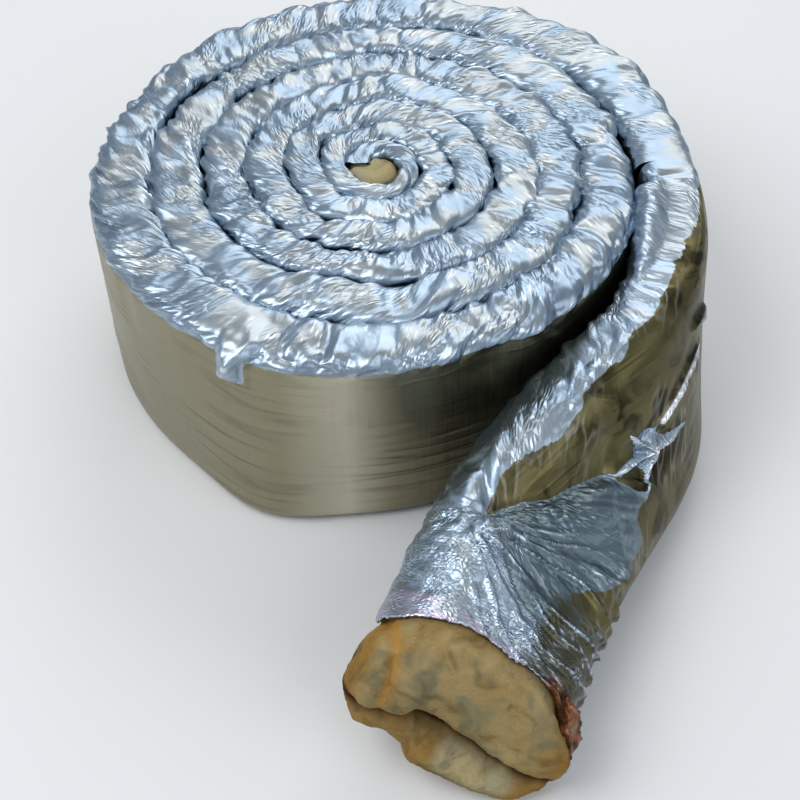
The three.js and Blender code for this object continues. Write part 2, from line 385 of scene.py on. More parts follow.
def crinkle(plan, fan, cross, along, around, crown):
    """How far the film stands out, in metres: the dents on the crowns that it buckles from, and
    tension lines on the flats. Fan and cross run through the pattern of the dents, along and
    around through the film."""
    pattern = warped(plan, fan, cross)
    facets = plan.cells(plan.vectors("MULTIPLY", pattern, FACETS)) - 0.18
    small = plan.cells(plan.vectors("MULTIPLY", pattern, SMALL_FACETS)) - 0.17
    gathered = plan.noise(plan.vector(fan, cross, 3.1), 9.0, 1.0).ramp(0.38, 0.62)
    uneven = plan.noise(plan.vector(fan, cross, 6.0), 5.5, 1.0).ramp(0.38, 0.60)
    dents = facets * (uneven * FACET_DEPTH[1] + FACET_DEPTH[0])
    dents = dents + small * (gathered + 0.2) * SMALL_DEPTH
    # the flats are drawn tight
    taut = plan.creases(plan.vector(along * 6.0, around * 62.0, 2.0), 1.0, 6.0, 0.6)
    where = plan.noise(plan.vector(along, around, 5.0), 9.0, 1.0).ramp(0.5, 0.66)
    flats = taut ** 2.0 * where * LINE_HEIGHT
    return dents * crown + flats * (1.0 - crown)


# ---- The wound film -------------------------------------------------------------------------

# The outer turns sag out of round: the direction and half width of each bulge in degrees, and
# how far the top and the foot of the outside stand out
BULGES = (
    (248, 13, 0.008, 0.037),
    (42, 20, 0.013, 0.013),
    (120, 42, -0.015, -0.015),
    (292, 18, -0.012, -0.010),
)
BULGE_FADE = 4.0
# The crowns of the wound sleeve: how high they are for their half width, and the powers that
# make them fuller than a half circle, sideways and upward
CROWN_RISE = 0.82
CROWN_SIDE = 0.50
CROWN_LIFT = 0.66
# How far the creases lean where the free end leaves the coil
LEAN = -0.8
# The turns between which the outermost turn's wall begins, its creases come to lean as the free
# end's do, its lumps die out, and its dents do
WALL = (5.35, 5.5)
LEANING = (6.2, 6.4)
CALMING = (6.25, 6.5)
ENDING = (6.44, 6.495)
# A tuck of the outermost turn, folded down over the wall: the length wound up to it and the way
# down to it from the crown's middle, how steeply it rises each way, and its height
TUCK = (5.269, 0.049)
TUCK_SLOPES = (52.0, 29.0)
TUCK_HEIGHT = 0.018


class WoundFilm(Rule):
    """The Geometry Nodes tree of one stretch of the wound film.

    A flat grid is rolled up: its length becomes the winding, and its width goes round the
    flattened sleeve. The tree's inputs are the sleeve's and the coil's sizes."""

    NUMBERS = (
        "From Turn", "To Turn", "Spread", "Crown Share", "Outside Share", "Foot Share", "Turns",
        "Eye", "Inner Pitch", "Outer Pitch", "Slip", "Height", "Axis X", "Axis Y",
    )
    # as shares of a turn's half thickness: how much fuller it is inside the coil, and how much it
    # thins, leans, rises and sinks along its length
    PUFF = 0.12
    THINS = 0.30
    LEANS = 0.30
    LUMPS = 0.40
    SINKING = 0.10
    PUSH = 0.030  # how far turns push their neighbours about

    def __init__(self):
        inputs = {name: "NodeSocketFloat" for name in self.NUMBERS}
        inputs["Steps Along"] = "NodeSocketInt"
        inputs["Steps Round"] = "NodeSocketInt"
        inputs["Material"] = "NodeSocketMaterial"
        super().__init__("wound_film", inputs)
        given = self.given
        size = {0: 1.0, 1: 1.0, 2: given["Steps Along"], 3: given["Steps Round"]}
        grid = self.node("GeometryNodeMeshGrid", {}, size)
        position = self.node("GeometryNodeInputPosition")
        split = self.node("ShaderNodeSeparateXYZ", {}, {0: position})
        winding = self.winding(split + 0.5)
        winding["ends"] = (0.5 - split.size()).ramp(0.0, 0.008)
        section = self.section(split.other(1) + 0.5, winding)
        place = self.place(winding, section)

        sheet = self.vector(winding["wound"], section["girth"])
        grid = self.store(grid, "UVMap", sheet, "FLOAT2", "CORNER")
        for name in ("crown", "groove", "fan", "cross", "loose"):
            grid = self.store(grid, name, section[name])
        grid = self.store(grid, "bearing", (winding["angle"] / math.tau).math("FRACT"))
        rolled = self.node("GeometryNodeSetPosition", {}, {"Geometry": grid, "Position": place})
        values = {"Geometry": rolled, "Distance": 0.00005}
        self.end(self.node("GeometryNodeMergeByDistance", {}, values))

    def winding(self, along):
        """The turn, its angle, middle radius and half thickness, and the length wound so far."""
        given = self.given
        span = given["To Turn"] - given["From Turn"]
        turn = given["From Turn"] + span * along ** given["Spread"]
        growth = (given["Outer Pitch"] - given["Inner Pitch"]) / given["Turns"]
        start = given["Eye"] + given["Inner Pitch"] * 0.5
        radius = start + given["Inner Pitch"] * turn + growth * (turn * turn + 0.25) * 0.5
        wound = math.tau * (
            start * turn
            + given["Inner Pitch"] * turn * turn * 0.5
            + growth * turn * turn * turn * (1 / 6)
        )
        return {
            "turn": turn,
            "angle": (given["Turns"] - turn) * math.tau,
            "radius": radius,
            "half": (given["Inner Pitch"] + growth * turn) * 0.5,
            "wound": wound,
            "wall": turn.ramp(*WALL),
        }

    def section(self, around, winding):
        """A point of the flattened sleeve's outline: across it, and up from its foot."""
        given = self.given
        half = winding["half"]
        crown_end = given["Crown Share"]
        outside_end = crown_end + given["Outside Share"]
        foot_end = outside_end + given["Foot Share"]
        over = around.ramp(0.0, crown_end)
        down = around.ramp(crown_end, outside_end)
        under = around.ramp(outside_end, foot_end)
        back = around.ramp(foot_end, 1.0)
        bend = (over + under - 0.5) * math.pi
        sine, cosine = bend.math("SINE"), bend.math("COSINE")
        rise = half * CROWN_RISE
        straight = given["Height"] * 0.5 - rise
        side = sine.size() ** CROWN_SIDE * sine.math("SIGN")
        lift = cosine.size() ** CROWN_LIFT * cosine.math("SIGN")
        level = straight * (1.0 - down * 2.0 + back * 2.0)
        # the way round, measured on the film itself
        bow = side * half + sine * (1.0 - lift.size()) * rise
        turned = under.ramp(0.0, 0.0001)
        girth = bow * (1.0 - turned * 2.0) + (half + rise) * (1.0 + turned * 2.0)
        outline = {
            "sine": sine,
            "cosine": cosine,
            "across": side * half,
            "level": level,
            "lift": lift * rise,
            "upper": (level + lift * rise).ramp(0.02, 0.09),
            "girth": girth + (down + back) * straight * 2.0,
            "cross": side * half + sine * ((1.0 - lift) * rise + straight - level),
        }
        return outline | self.marks(winding, outline)

    def marks(self, winding, outline):
        """Where the film is crushed, hidden by the next turn, tucked or free to crumple, and how
        its creases run."""
        sine, cosine, cross = outline["sine"], outline["cosine"], outline["cross"]
        inner = (0.0 - sine).ramp(0.0, 0.3)
        enclosed = (inner + 1.0 - winding["wall"]).clamped()
        tuck = self.tuck(winding, cross)
        crown = cosine.ramp(0.10, 0.42) + (-cosine).ramp(0.75, 0.95) + enclosed
        lean = self.noise(self.vector(winding["wound"], 2.0, 0.0), 3.0, 0.0).ramp(0.3, 0.7)
        settled = winding["turn"].ramp(*LEANING)
        lean = (0.2 - lean * 1.7) * (1.0 - settled) + settled * LEAN
        return {
            "enclosed": enclosed,
            "tuck": tuck,
            "crown": (crown + tuck.ramp(0.24, 0.30)).clamped(),
            # the material darkens the groove between turns as painted shade
            "groove": enclosed * (1.0 - cosine.size()),
            "loose": (cosine - (1.0 - enclosed) * 0.16).ramp(0.06, 0.35) * winding["ends"],
            "fan": winding["wound"] + cross * lean,
        }

    @staticmethod
    def tuck(winding, cross):
        """1 at the tuck's middle, falling away to 0 about it."""
        beside = (1.0 - (winding["wound"] - TUCK[0]).size() * TUCK_SLOPES[0]).clamped()
        beside = beside * winding["wall"]
        below = (1.0 - (cross - TUCK[1]).size() * TUCK_SLOPES[1]).clamped()
        return (beside + below - (beside - below).size()) * 0.5

    def place(self, winding, section):
        """Where a point of the film is, with its puffs and pleats."""
        given = self.given
        wound, half = winding["wound"], winding["half"]
        out = crinkle(self, section["fan"], section["cross"], wound, section["girth"],
                      section["crown"])
        out = out * (1.0 - winding["turn"].ramp(*ENDING)) + section["tuck"] * TUCK_HEIGHT
        free = 1.0 - winding["turn"].ramp(*CALMING)
        # the turns are lumpy: they rise, lean and thin along their length
        upper = section["upper"] * free
        lumps = self.noise(self.vector(wound, 3.0, 0.0), 8.0, 1.5) - 0.5
        leans = self.noise(self.vector(wound, 7.0, 0.0), 6.0, 1.0) - 0.5
        thins = self.noise(self.vector(wound, 5.0, 0.0), 6.5, 1.0).ramp(0.55, 0.72)
        fuller = 1.0 + section["enclosed"] * free * self.PUFF - thins * upper * self.THINS
        shift = section["across"] * fuller + section["sine"] * out + leans * upper * half * self.LEANS
        lift = section["lift"] + section["cosine"] * out
        lift = lift + lumps * upper * half * self.LUMPS - upper * half * self.SINKING
        # and they push their neighbours about, the outermost the least
        spot = self.vector(
            winding["radius"] * winding["angle"].math("COSINE"),
            winding["radius"] * winding["angle"].math("SINE"),
            0.0,
        )
        pushed = self.noise(spot, 9.0, 1.0) - 0.5
        inside = winding["radius"].ease(0.015, 0.05) * (1.0 - winding["radius"].ease(0.24, 0.30))
        reach = winding["radius"] + shift + pushed * inside * upper * self.PUSH
        slip = reach.ease(0.02, 0.07) * (1.0 - reach.ease(0.285, 0.335)) * given["Slip"]
        height = (section["level"] + lift + given["Height"] * 0.5).math("MAXIMUM", 0.0)
        reach = reach - slip + self.bulge(winding["angle"], reach, height)
        x = given["Axis X"] + reach * winding["angle"].math("COSINE")
        y = given["Axis Y"] + reach * winding["angle"].math("SINE")
        return self.vector(x, y, height)

    def bulge(self, angle, reach, height):
        """The coil sags out of round, more so towards the outside."""
        given = self.given
        top = height / given["Height"]
        total = 0.0
        for degrees, width, at_top, at_foot in BULGES:
            turned = (angle - math.radians(degrees) + math.pi) / math.tau
            away = (turned.math("FRACT") - 0.5) * (360.0 / width)
            total = total + (at_foot + top * (at_top - at_foot)) * (-(away * away)).math("EXPONENT")
        mean_pitch = (given["Inner Pitch"] + given["Outer Pitch"]) * 0.5
        outside = given["Eye"] + given["Outer Pitch"] * 0.5 + given["Turns"] * mean_pitch
        outside = outside + given["Inner Pitch"] * 0.5
        return total * (reach / outside) ** BULGE_FADE


# ---- The free end ---------------------------------------------------------------------------


def smooth(value, low, high):
    """0 below low, 1 above high, and a soft slope between."""
    share = np.clip((value - low) / (high - low), 0.0, 1.0)
    return share * share * (3.0 - 2.0 * share)


def blend(first, second, share):
    return first + (second - first) * share


class FreeEnd:
    """The path, the lean and the section of the free end.

    Shares run from 0, where it leaves the coil, to 1 at the film's mouth. The section is given
    by v: 0 at the middle of the lower edge, 1 at the middle of the upper edge, round the outer
    face, and on to 2 round the inner face."""

    SAMPLES = 400
    LAND = math.radians(18)  # half the bend of a crown that is flat on the floor

    def __init__(self, coil, tail):
        self.coil = coil
        self.tail = tail
        growth = (coil.outer_pitch - coil.inner_pitch) / coil.turns
        start = coil.eye + coil.inner_pitch / 2
        winding = start + coil.inner_pitch * coil.turns + growth * (coil.turns**2 + 0.25) / 2
        self.wound = math.tau * (
            start * coil.turns + coil.inner_pitch * coil.turns**2 / 2 + growth * coil.turns**3 / 6
        )
        begin = np.array([winding, 0.0])
        end = begin + [-tail.inward, -tail.ahead]
        first = begin + np.array(self.level(-tail.leaving_angle)) * tail.leaving_handle
        last = end - np.array(self.level(tail.heading)) * tail.mouth_handle
        t = np.linspace(0, 1, self.SAMPLES)[:, None]
        curve = (1 - t) ** 3 * begin + 3 * (1 - t) ** 2 * t * first
        self.curve = curve + 3 * (1 - t) * t**2 * last + t**3 * end
        steps = np.linalg.norm(np.diff(self.curve, axis=0), axis=1)
        self.run = np.concatenate([[0.0], np.cumsum(steps)])
        self.length = self.run[-1]

    @staticmethod
    def level(angle):
        """A level direction, turned inward from the one in which the coil ends."""
        return (-math.sin(angle), -math.cos(angle))

    def flat_width(self, thickness):
        """How wide the film tube lies when it is pressed to a thickness."""
        return self.coil.girth / 2 - (math.pi / 2 - 1) * thickness

    def on_path(self, reach):
        """Places on the path, by the way from the coil."""
        return np.stack([np.interp(reach, self.run, self.curve[:, k]) for k in (0, 1)], -1)

    def places(self, share, past=0.0):
        """Frames of the section, one for each share."""
        share = np.asarray(share, float)
        reach = np.clip(share, 0, 1) * self.length
        middle = self.on_path(reach)
        small = self.length * 0.01
        tangent = self.on_path(reach + small) - self.on_path(reach - small)
        tangent /= np.linalg.norm(tangent, axis=-1, keepdims=True)
        skew = -self.tail.skew * smooth(share, 0.5, 1.0)
        out = np.stack([-tangent[..., 1], tangent[..., 0]], -1)
        outward = np.stack([
            out[..., 0] * np.cos(skew) - out[..., 1] * np.sin(skew),
            out[..., 0] * np.sin(skew) + out[..., 1] * np.cos(skew),
        ], -1)
        opened = smooth(share, 0, 1)
        lean = self.tail.lean * smooth(share, self.tail.lean_start, self.tail.lean_end)
        zero = np.zeros(share.shape + (1,))
        one = np.ones(share.shape + (1,))
        outward = np.concatenate([outward, zero], -1)
        up = np.concatenate([zero, zero, one], -1)
        cos, sin = np.cos(lean)[..., None], np.sin(lean)[..., None]
        thickness = blend(self.coil.outer_pitch, self.tail.thickness, opened)
        height = blend(self.coil.height, self.flat_width(self.tail.thickness), opened)
        middle = np.concatenate([middle + tangent * np.asarray(past)[..., None], zero], -1)
        half, tall = thickness / 2, height / 2
        middle[..., 2] = (tall - half * math.cos(self.LAND)) * np.cos(lean) + half
        middle[..., :2] += [self.coil.axis_x, self.coil.axis_y]
        return {
            "middle": middle,
            "side": outward * cos + up * sin,
            "edge": up * cos - outward * sin,
            "ahead": np.concatenate([tangent, zero], -1),
            "half": half,
            "tall": tall,
            "opened": opened,
        }

    @staticmethod
    def section(place, v):
        """Across and up of the outline at v."""
        half, tall, opened = place["half"], place["tall"], place["opened"]
        rise = half * blend(CROWN_RISE, 1.0, opened)
        arc = math.pi / 2 * half
        straight = 2 * (tall - rise)
        inner = v > 1.0
        w = np.where(inner, 2.0 - v, v)
        run = w * (2 * arc + straight)
        low = np.clip(run / arc, 0, 1)
        high = np.clip((run - arc - straight) / arc, 0, 1)
        bend = (high - (1 - low)) * math.pi / 2
        flat = np.clip(run - arc, 0, straight)
        turn = np.where(run < arc, math.pi / 2 - low * math.pi / 2, high * math.pi / 2)
        side = blend(CROWN_SIDE, 1.0, opened)
        lift = blend(CROWN_LIFT, 1.0, opened)
        across = half * np.maximum(np.cos(turn), 0) ** side
        ends = rise * np.maximum(np.sin(turn), 0) ** lift * np.sign(bend + 1e-9)
        up = -(tall - rise) + flat + ends
        return np.where(inner, -across, across), up

    def point(self, place, v):
        """Places in the model on the outline at v."""
        across, up = self.section(place, v)
        return place["middle"] + place["side"] * across[..., None] + place["edge"] * up[..., None]


def tube(rings):
    """The points and faces of a tube through rings of points."""
    rows, columns = rings.shape[:2]
    index = np.arange(rows * columns).reshape(rows, columns)
    index = np.concatenate([index, index[:, :1]], 1)
    quads = np.stack([index[:-1, :-1], index[:-1, 1:], index[1:, 1:], index[1:, :-1]], -1)
    return rings.reshape(-1, 3), quads.reshape(-1, 4)


def fan_cap(ring, middle, facing):
    """The faces from a ring of points to its middle, given by their numbers."""
    pair = (ring, np.roll(ring, -1)) if facing else (np.roll(ring, -1), ring)
    return np.stack([*pair, np.full(len(ring), middle)], 1).tolist()


def new_mesh(name, points, faces):
    mesh = bpy.data.meshes.new(name)
    mesh.from_pydata(points.tolist(), [], faces)
    mesh.update()
    return mesh


def set_values(mesh, name, values):
    attribute = mesh.attributes.new(name, "FLOAT", "POINT")
    attribute.data.foreach_set("value", np.asarray(values, np.float32).ravel())


def set_sheet(mesh, along, around):
    """The UV map, in metres along and around the film."""
    layer = mesh.uv_layers.new(name="UVMap")
    corners = listed(mesh.loops, "vertex_index")
    pairs = np.stack([along.ravel()[corners], around.ravel()[corners]], -1)
    layer.data.foreach_set("uv", pairs.astype(np.float32).ravel())


def wobble(x, y, z, scale):
    """Smooth noise between about -1 and 1 at each place."""
    x, y, z = np.broadcast_arrays(x, y, z)
    flat = zip(x.ravel() * scale, y.ravel() * scale, z.ravel() * scale)
    return np.array([noise.noise(place) for place in flat]).reshape(x.shape)


# How far the film runs past the mouth's plane, by v
RIM = ((0.0, 0.015), (0.14, 0.022), (0.20, 0.018), (0.27, -0.003), (0.36, -0.011), (0.46, -0.008),
       (0.56, -0.006), (0.64, -0.003), (0.73, 0.009), (0.82, 0.017), (0.87, 0.022), (1.0, 0.018),
       (1.14, -0.004), (1.4, 0.0), (2.0, 0.015))

# The marks of the free end, each a line of places (share, v) on it
SILVER_EDGE = ((0.0, 0.87), (0.107, 0.95), (0.212, 0.985), (0.302, 0.983), (0.38, 0.95),
               (0.448, 0.93), (0.485, 0.875), (0.55, 0.855), (0.60, 0.80), (0.65, 0.77),
               (0.70, 0.795), (0.748, 0.83), (0.82, 0.80))
DEEP_FOLD = ((0.835, 0.84), (0.82, 0.797), (0.795, 0.745), (0.758, 0.695), (0.708, 0.618),
             (0.657, 0.588), (0.60, 0.54), (0.585, 0.51))
RIDGE = ((0.285, 0.635), (0.348, 0.622), (0.388, 0.597), (0.425, 0.573), (0.463, 0.54))
STREAK = ((0.255, 0.727), (0.335, 0.737))
FOLD_START = (*DEEP_FOLD, (0.572, 0.45), (0.55, 0.38), (0.55, 0.0))
PINCH = (0.495, 0.49)
# painted shade beside the pinch runs along this line
PINCH_SHADE_LINE = ((0.42, 0.40), (0.56, 0.40))
PINCH_TIPS = ((0.55, 0.378), (0.527, 0.598), (0.463, 0.537), (0.393, 0.43), (0.585, 0.51))
RIGHT_EDGE = ((0.55, 0.38), (0.583, 0.362), (0.613, 0.278), (0.645, 0.253), (0.748, 0.278),
              (0.772, 0.312), (0.838, 0.435), (0.90, 0.415), (1.0, 0.40))
BRIGHT_START = ((0.90, 0.30), (0.90, 0.415), (0.888, 0.53), (0.868, 0.603), (0.85, 0.677),
                (0.823, 0.79))


def crossing(v, line):
    """The share at which a line passes v. The line is given from high v to low or from low to
    high, and holds its ends beyond them."""
    line = np.array(line)
    line = line[np.argsort(line[:, 1])]
    return np.interp(v, line[:, 1], line[:, 0])


def line_distance(s, v, line):
    """Distance from each place to a line, which side it is on, and how far along the line."""
    best = np.full(s.shape, 1e9)
    signed = np.zeros(s.shape)
    reach = np.zeros(s.shape)
    line = np.array(line)
    total = len(line) - 1
    for i, (a, b) in enumerate(zip(line[:-1], line[1:])):
        d = b - a
        t = np.clip(((s - a[0]) * d[0] + (v - a[1]) * d[1]) / (d @ d), 0, 1)
        dx, dy = s - a[0] - t * d[0], v - a[1] - t * d[1]
        away = np.hypot(dx, dy)
        near = away < best
        best = np.where(near, away, best)
        signed = np.where(near, np.sign(d[0] * dy - d[1] * dx) * away, signed)
        reach = np.where(near, (i + t) / total, reach)
    return best, signed, reach


class FreeEndFilm:
    """The film of the free end: its skin, its folds and its open mouth."""

    RINGS = 270
    ROUND = 224
    LINING = 26  # rings of the lining, which runs back in from the mouth
    LINING_END = 0.87  # share of the free end at which it stops
    FOLD_DEPTH = 0.017
    FOLD_SWELLING = 0.006
    PLEAT_HEIGHT = 0.0070
    STREAK_HEIGHT = 0.003
    RIDGE_HEIGHT = 0.0085
    STAR_HEIGHT = 0.010
    COIL_SWELLING = 0.016
    HEM_THICKNESS = 0.0016

    def __init__(self, end):
        self.end = end
        share = np.linspace(0.0, 1.0, self.RINGS)[:, None]
        v = (np.arange(self.ROUND) / self.ROUND * 2.0)[None, :]
        share, v = np.broadcast_arrays(share, v)
        self.v = v
        rim = self.rim(v[0])
        share = share * (1.0 + (rim / end.length)[None, :] * smooth(share, 0.6, 1.0))
        self.share = share
        self.points = self.surface(share, v)
        self.relief()

    def surface(self, share, v):
        """Places on the smooth skin, which may run past the mouth's plane."""
        place = self.end.places(np.minimum(share, 1.0), np.maximum(share - 1.0, 0) * self.end.length)
        return self.end.point(place, v)

    def rim(self, v):
        """How far the torn rim runs past the mouth's plane."""
        teeth = np.abs(wobble(v * 40.0, 5.0, 0.0, 1.0)) * 0.007
        return np.interp(v, *np.array(RIM).T) + teeth - 0.003

    def relief(self):
        """Folds and pinches, as distances out of the skin."""
        self.scale = np.array([self.end.length, self.end.coil.girth / 2])
        self.s, self.g = self.share * self.scale[0], self.v * self.scale[1]
        self.out = np.zeros(self.s.shape)
        self.fold_over()
        self.gather_pleats()
        self.pinch_ridge()
        self.swell_near_coil()
        self.pinch_star()
        self.turn_hem()
        self.out *= smooth(self.share, 0.02, 0.08)

    def from_line(self, line):
        """Distance from a line on the skin in metres, which side it is on, and how far along."""
        return line_distance(self.s, self.g, np.array(line) * self.scale)

    def fold_over(self):
        """The deep fold, and a swelling above it."""
        away, signed, reach = self.from_line(DEEP_FOLD)
        width = np.where(signed > 0, 0.014, 0.034)
        taper = smooth(reach, -0.05, 0.25) * (1 - smooth(reach, 0.8, 1.05) * 0.5)
        self.out += -self.FOLD_DEPTH * np.exp(-((away / width) ** 2)) * taper
        above = np.exp(-(((signed - 0.035) / 0.03) ** 2)) * (away < 0.12)
        self.out += self.FOLD_SWELLING * above * taper

    def gather_pleats(self):
        """The pleats that fan out below the fold."""
        s, g, v = self.s, self.g, self.v
        dx, dy = (s, g) - (np.array(DEEP_FOLD[0]) * self.scale)[:, None, None]
        radius = np.hypot(dx, dy)
        angle = np.arctan2(dx, -dy)
        bent = angle + radius * 1.6 + 0.12 * wobble(s * 12, g * 12, 4.0, 1.0)
        fan = np.abs(wobble(bent * 8.0, radius * 5.0, 2.0, 1.0))
        fan = (1 - np.clip(fan * 3.2, 0, 1)) ** 1.5
        starts = crossing(v, FOLD_START)
        below = smooth(self.share, starts - 0.004, starts + 0.014) * (v < 1.0)
        inside = smooth(angle, -0.75, -0.45) * (1 - smooth(angle, 0.75, 1.05)) * below
        gathered = inside * smooth(radius, 0.01, 0.03) * (1 - smooth(radius, 0.20, 0.30))
        self.out += self.PLEAT_HEIGHT * fan * gathered
        ragged = wobble(self.share * 14, v * 7, 2.0, 1.0) * 0.012
        self.bright = crossing(v, BRIGHT_START) + ragged
        # the pleated stretch, which the material paints a darker teal as painted shade
        self.pleats = below * (1 - smooth(self.share, self.bright - 0.020, self.bright + 0.020))

    def pinch_ridge(self):
        """The pinched ridge, sharp on one side, and the streak before it."""
        away, _, reach = self.from_line(STREAK)
        streak = np.clip(1 - away / 0.004, 0, 1) * smooth(reach, 0, 0.2) * (1 - smooth(reach, 0.8, 1))
        self.out += self.STREAK_HEIGHT * streak
        away, signed, reach = self.from_line(RIDGE)
        blade = np.where(signed > 0, 0.004, 0.009)
        ridge = np.clip(1 - np.abs(signed) / (blade * (0.6 + 0.8 * reach)), 0, 1)
        along = smooth(reach, 0.0, 0.15) * (1 - smooth(reach, 0.93, 1.0))
        # the ridge and the streak also get a painted highlight in the material
        self.ridge = np.maximum(ridge * along * (away < 0.02), streak * 0.6)
        self.out += self.RIDGE_HEIGHT * self.ridge

    def swell_near_coil(self):
        """Where it leaves the coil, its inner side swells towards it."""
        inside = smooth(self.v, 1.0, 1.08) * (1 - smooth(self.v, 1.35, 1.7))
        inside = self.COIL_SWELLING * inside * smooth(self.share, 0.0, 0.09)
        self.out += inside * (1 - smooth(self.share, 0.16, 0.34))

    def pinch_star(self):
        """The star-shaped pinch: sharp arms, and the film sunk between them."""
        centre = np.array(PINCH) * self.scale
        radius = np.hypot(self.s - centre[0], self.g - centre[1])
        arms = np.zeros(self.s.shape)
        for tip in PINCH_TIPS:
            away, signed, reach = self.from_line((PINCH, tip))
            blade = np.where(signed > 0, 0.0045, 0.010) * (1.1 - 0.7 * reach)
            arms = np.maximum(arms, np.clip(1 - away / blade, 0, 1) * (1.15 - reach))
        self.pinch = np.maximum(np.exp(-((radius / 0.026) ** 2)), smooth(arms, 0.0, 0.2))
        # the star's arms share the ridge's painted highlight
        self.ridge = np.maximum(self.ridge, smooth(arms, 0.5, 1.0) * 0.6)
        # painted shade on the flat beside the star, away from its arms
        beside = self.from_line(PINCH_SHADE_LINE)[0]
        self.gloom = np.exp(-((beside / 0.016) ** 2)) * (1 - smooth(arms, 0.0, 0.3))
        sunk = np.exp(-((radius / 0.030) ** 2)) * (1 - arms)
        self.out += self.STAR_HEIGHT * np.clip(arms, 0, 1) - self.STAR_HEIGHT * sunk

    def turn_hem(self):
        """The hem, flared and rusty round the lower side of the mouth."""
        s, g, v = self.s, self.g, self.v
        past = (1 - self.share) * self.end.length
        self.hem = 1 - smooth(past + wobble(s * 8, g * 8, 2.0, 1.0) * 0.006, 0.013, 0.016)
        flared = smooth(0.36 - v, 0.0, 0.1) + smooth(v - 1.95, 0.0, 0.05)
        waves = 0.004 + 0.006 * wobble(s * 60, g * 60, 3.0, 1.0)
        self.out += self.hem * (self.HEM_THICKNESS + flared * waves)
        self.rusty = smooth(0.36 - v, -0.02, 0.06)

    def crown(self):
        """1 where the film is crinkled, 0 where it is stretched flat."""
        share, v = self.share, self.v
        edge = np.interp(share, *np.array(SILVER_EDGE).T)
        ragged = wobble(share * 18, v * 9, 0.0, 1.0) * 0.02
        silver = smooth(v + ragged, edge - 0.03, edge + 0.03)
        fold = crossing(v, FOLD_START) + wobble(share * 10, v * 24, 6.0, 1.0) * 0.010
        beyond = smooth(share, fold - 0.006, fold + 0.006)
        right = np.interp(share, *np.array(RIGHT_EDGE).T)
        beyond = beyond * smooth(v + ragged * 1.5, right - 0.04, right + 0.04)
        pinch = smooth(self.pinch, 0.35, 0.6)
        # towards the mouth the flat is crumpled too, but stays dark
        low = (v < 0.6) * smooth(share + ragged, 0.80, 0.86) * smooth(v, 0.10, 0.18)
        self.smoky = low * (1 - beyond)
        return np.clip(np.maximum.reduce([silver, beyond, pinch, self.ridge, low]), 0, 1)

    def loose(self, crown):
        """Where the film is free to crumple."""
        free = crown * smooth(self.share, 0.0, 0.04) * (1.0 - smooth(self.share, 0.955, 0.97))
        face = smooth(1.15 - self.v, 0.0, 0.1)
        return free * face

    def pattern(self):
        """Places in the pattern of creases: straight on at first, and beyond the fold a fan about
        its root. Also the distance from where one takes over from the other."""
        length, half_girth = self.scale
        s, g = self.s, (1.0 - self.v) * half_girth
        root = np.array([DEEP_FOLD[1][0] * length, (1.0 - DEEP_FOLD[1][1]) * half_girth])
        starts = crossing(self.v, FOLD_START) * length
        beyond = s > starts
        away = np.hypot(s - root[0], g - root[1])
        angle = np.arctan2(s - root[0], g - root[1])
        fan = np.where(beyond, angle * 0.13 + 3.0, self.end.wound + s + g * LEAN)
        cross = np.where(beyond, away, g)
        fine = (self.share > self.bright) & beyond
        seam = np.minimum(np.abs(s - starts), np.abs(self.share - self.bright) * length)
        self.calm = 1.2 - 0.5 * fine - 0.8 * (beyond & ~fine)
        return np.where(fine, s * 1.8, fan), np.where(fine, g * 1.8, cross), seam

    def mesh(self):
        """The skin and its lining, with what the dents, the cloth and the material go by."""
        end = self.end
        normals = grid_normals(self.points)
        skin = self.points + normals * self.out[..., None]
        skin[..., 2] = np.maximum(skin[..., 2], 0.0)
        last = self.share[-1:]
        lining_share = last * np.linspace(1.0, self.LINING_END, self.LINING)[:, None]
        inner = self.surface(lining_share, np.broadcast_to(self.v[:1], lining_share.shape))
        inward = -np.broadcast_to(normals[-1:], inner.shape)
        deeper = smooth((last - lining_share) * end.length, 0.0, 0.012)
        inner = inner + inward * (0.0010 + 0.0045 * deeper)[..., None]
        inner[..., 2] = np.maximum(inner[..., 2], 0.001)
        vertices, quads = tube(np.concatenate([skin, inner], 0))
        mesh = new_mesh("film_free_end", vertices, quads.tolist())

        share = np.concatenate([self.share, lining_share])
        v = np.broadcast_to(self.v[:1], share.shape)
        along = end.wound + share * end.length
        crown_middle = (1 + CROWN_RISE) * end.coil.outer_pitch / 2
        around = crown_middle + (1 - v) * end.coil.girth / 2
        set_sheet(mesh, along, around)
        set_values(mesh, "along", along)
        set_values(mesh, "around", around)
        set_values(mesh, "tail", smooth(along - end.wound, 0.0, 0.05))

        crown = self.crown()
        fan, cross, seam = self.pattern()
        strength = (1.0 - 0.5 * self.hem) * smooth(seam, 0.0, 0.008) * self.calm
        # values on the skin, and the one value of each on the lining
        values = {
            "crown": (crown, 0.0),
            "fan": (fan, 0.0),
            "cross": (cross, 0.0),
            "lined": (np.zeros(crown.shape), 1.0),
            "hem": (self.hem, 0.0),
            "rusty": (self.rusty * smooth(self.share, 0.93, 0.985), 1.0),
            "ridge": (self.ridge, 0.0),
            "smoky": (self.smoky, 0.0),
            "gloom": (self.gloom, 0.0),
            "pleats": (self.pleats, 0.0),
            "crinkled": (strength * smooth(self.share, 0.005, 0.04), 0.1),
            "loose": (self.loose(crown), 0.0),
        }
        for name, (outside, inside) in values.items():
            lining = np.full((self.LINING, self.ROUND), inside)
            set_values(mesh, name, np.concatenate([outside, lining]))
        return mesh


def grid_normals(points):
    """Outward unit normals of a grid that closes round its columns."""
    rows = np.gradient(points, axis=0)
    columns = np.roll(points, -1, axis=1) - np.roll(points, 1, axis=1)
    normals = np.cross(columns, rows)
    return normals / np.maximum(np.linalg.norm(normals, axis=-1, keepdims=True), 1e-9)


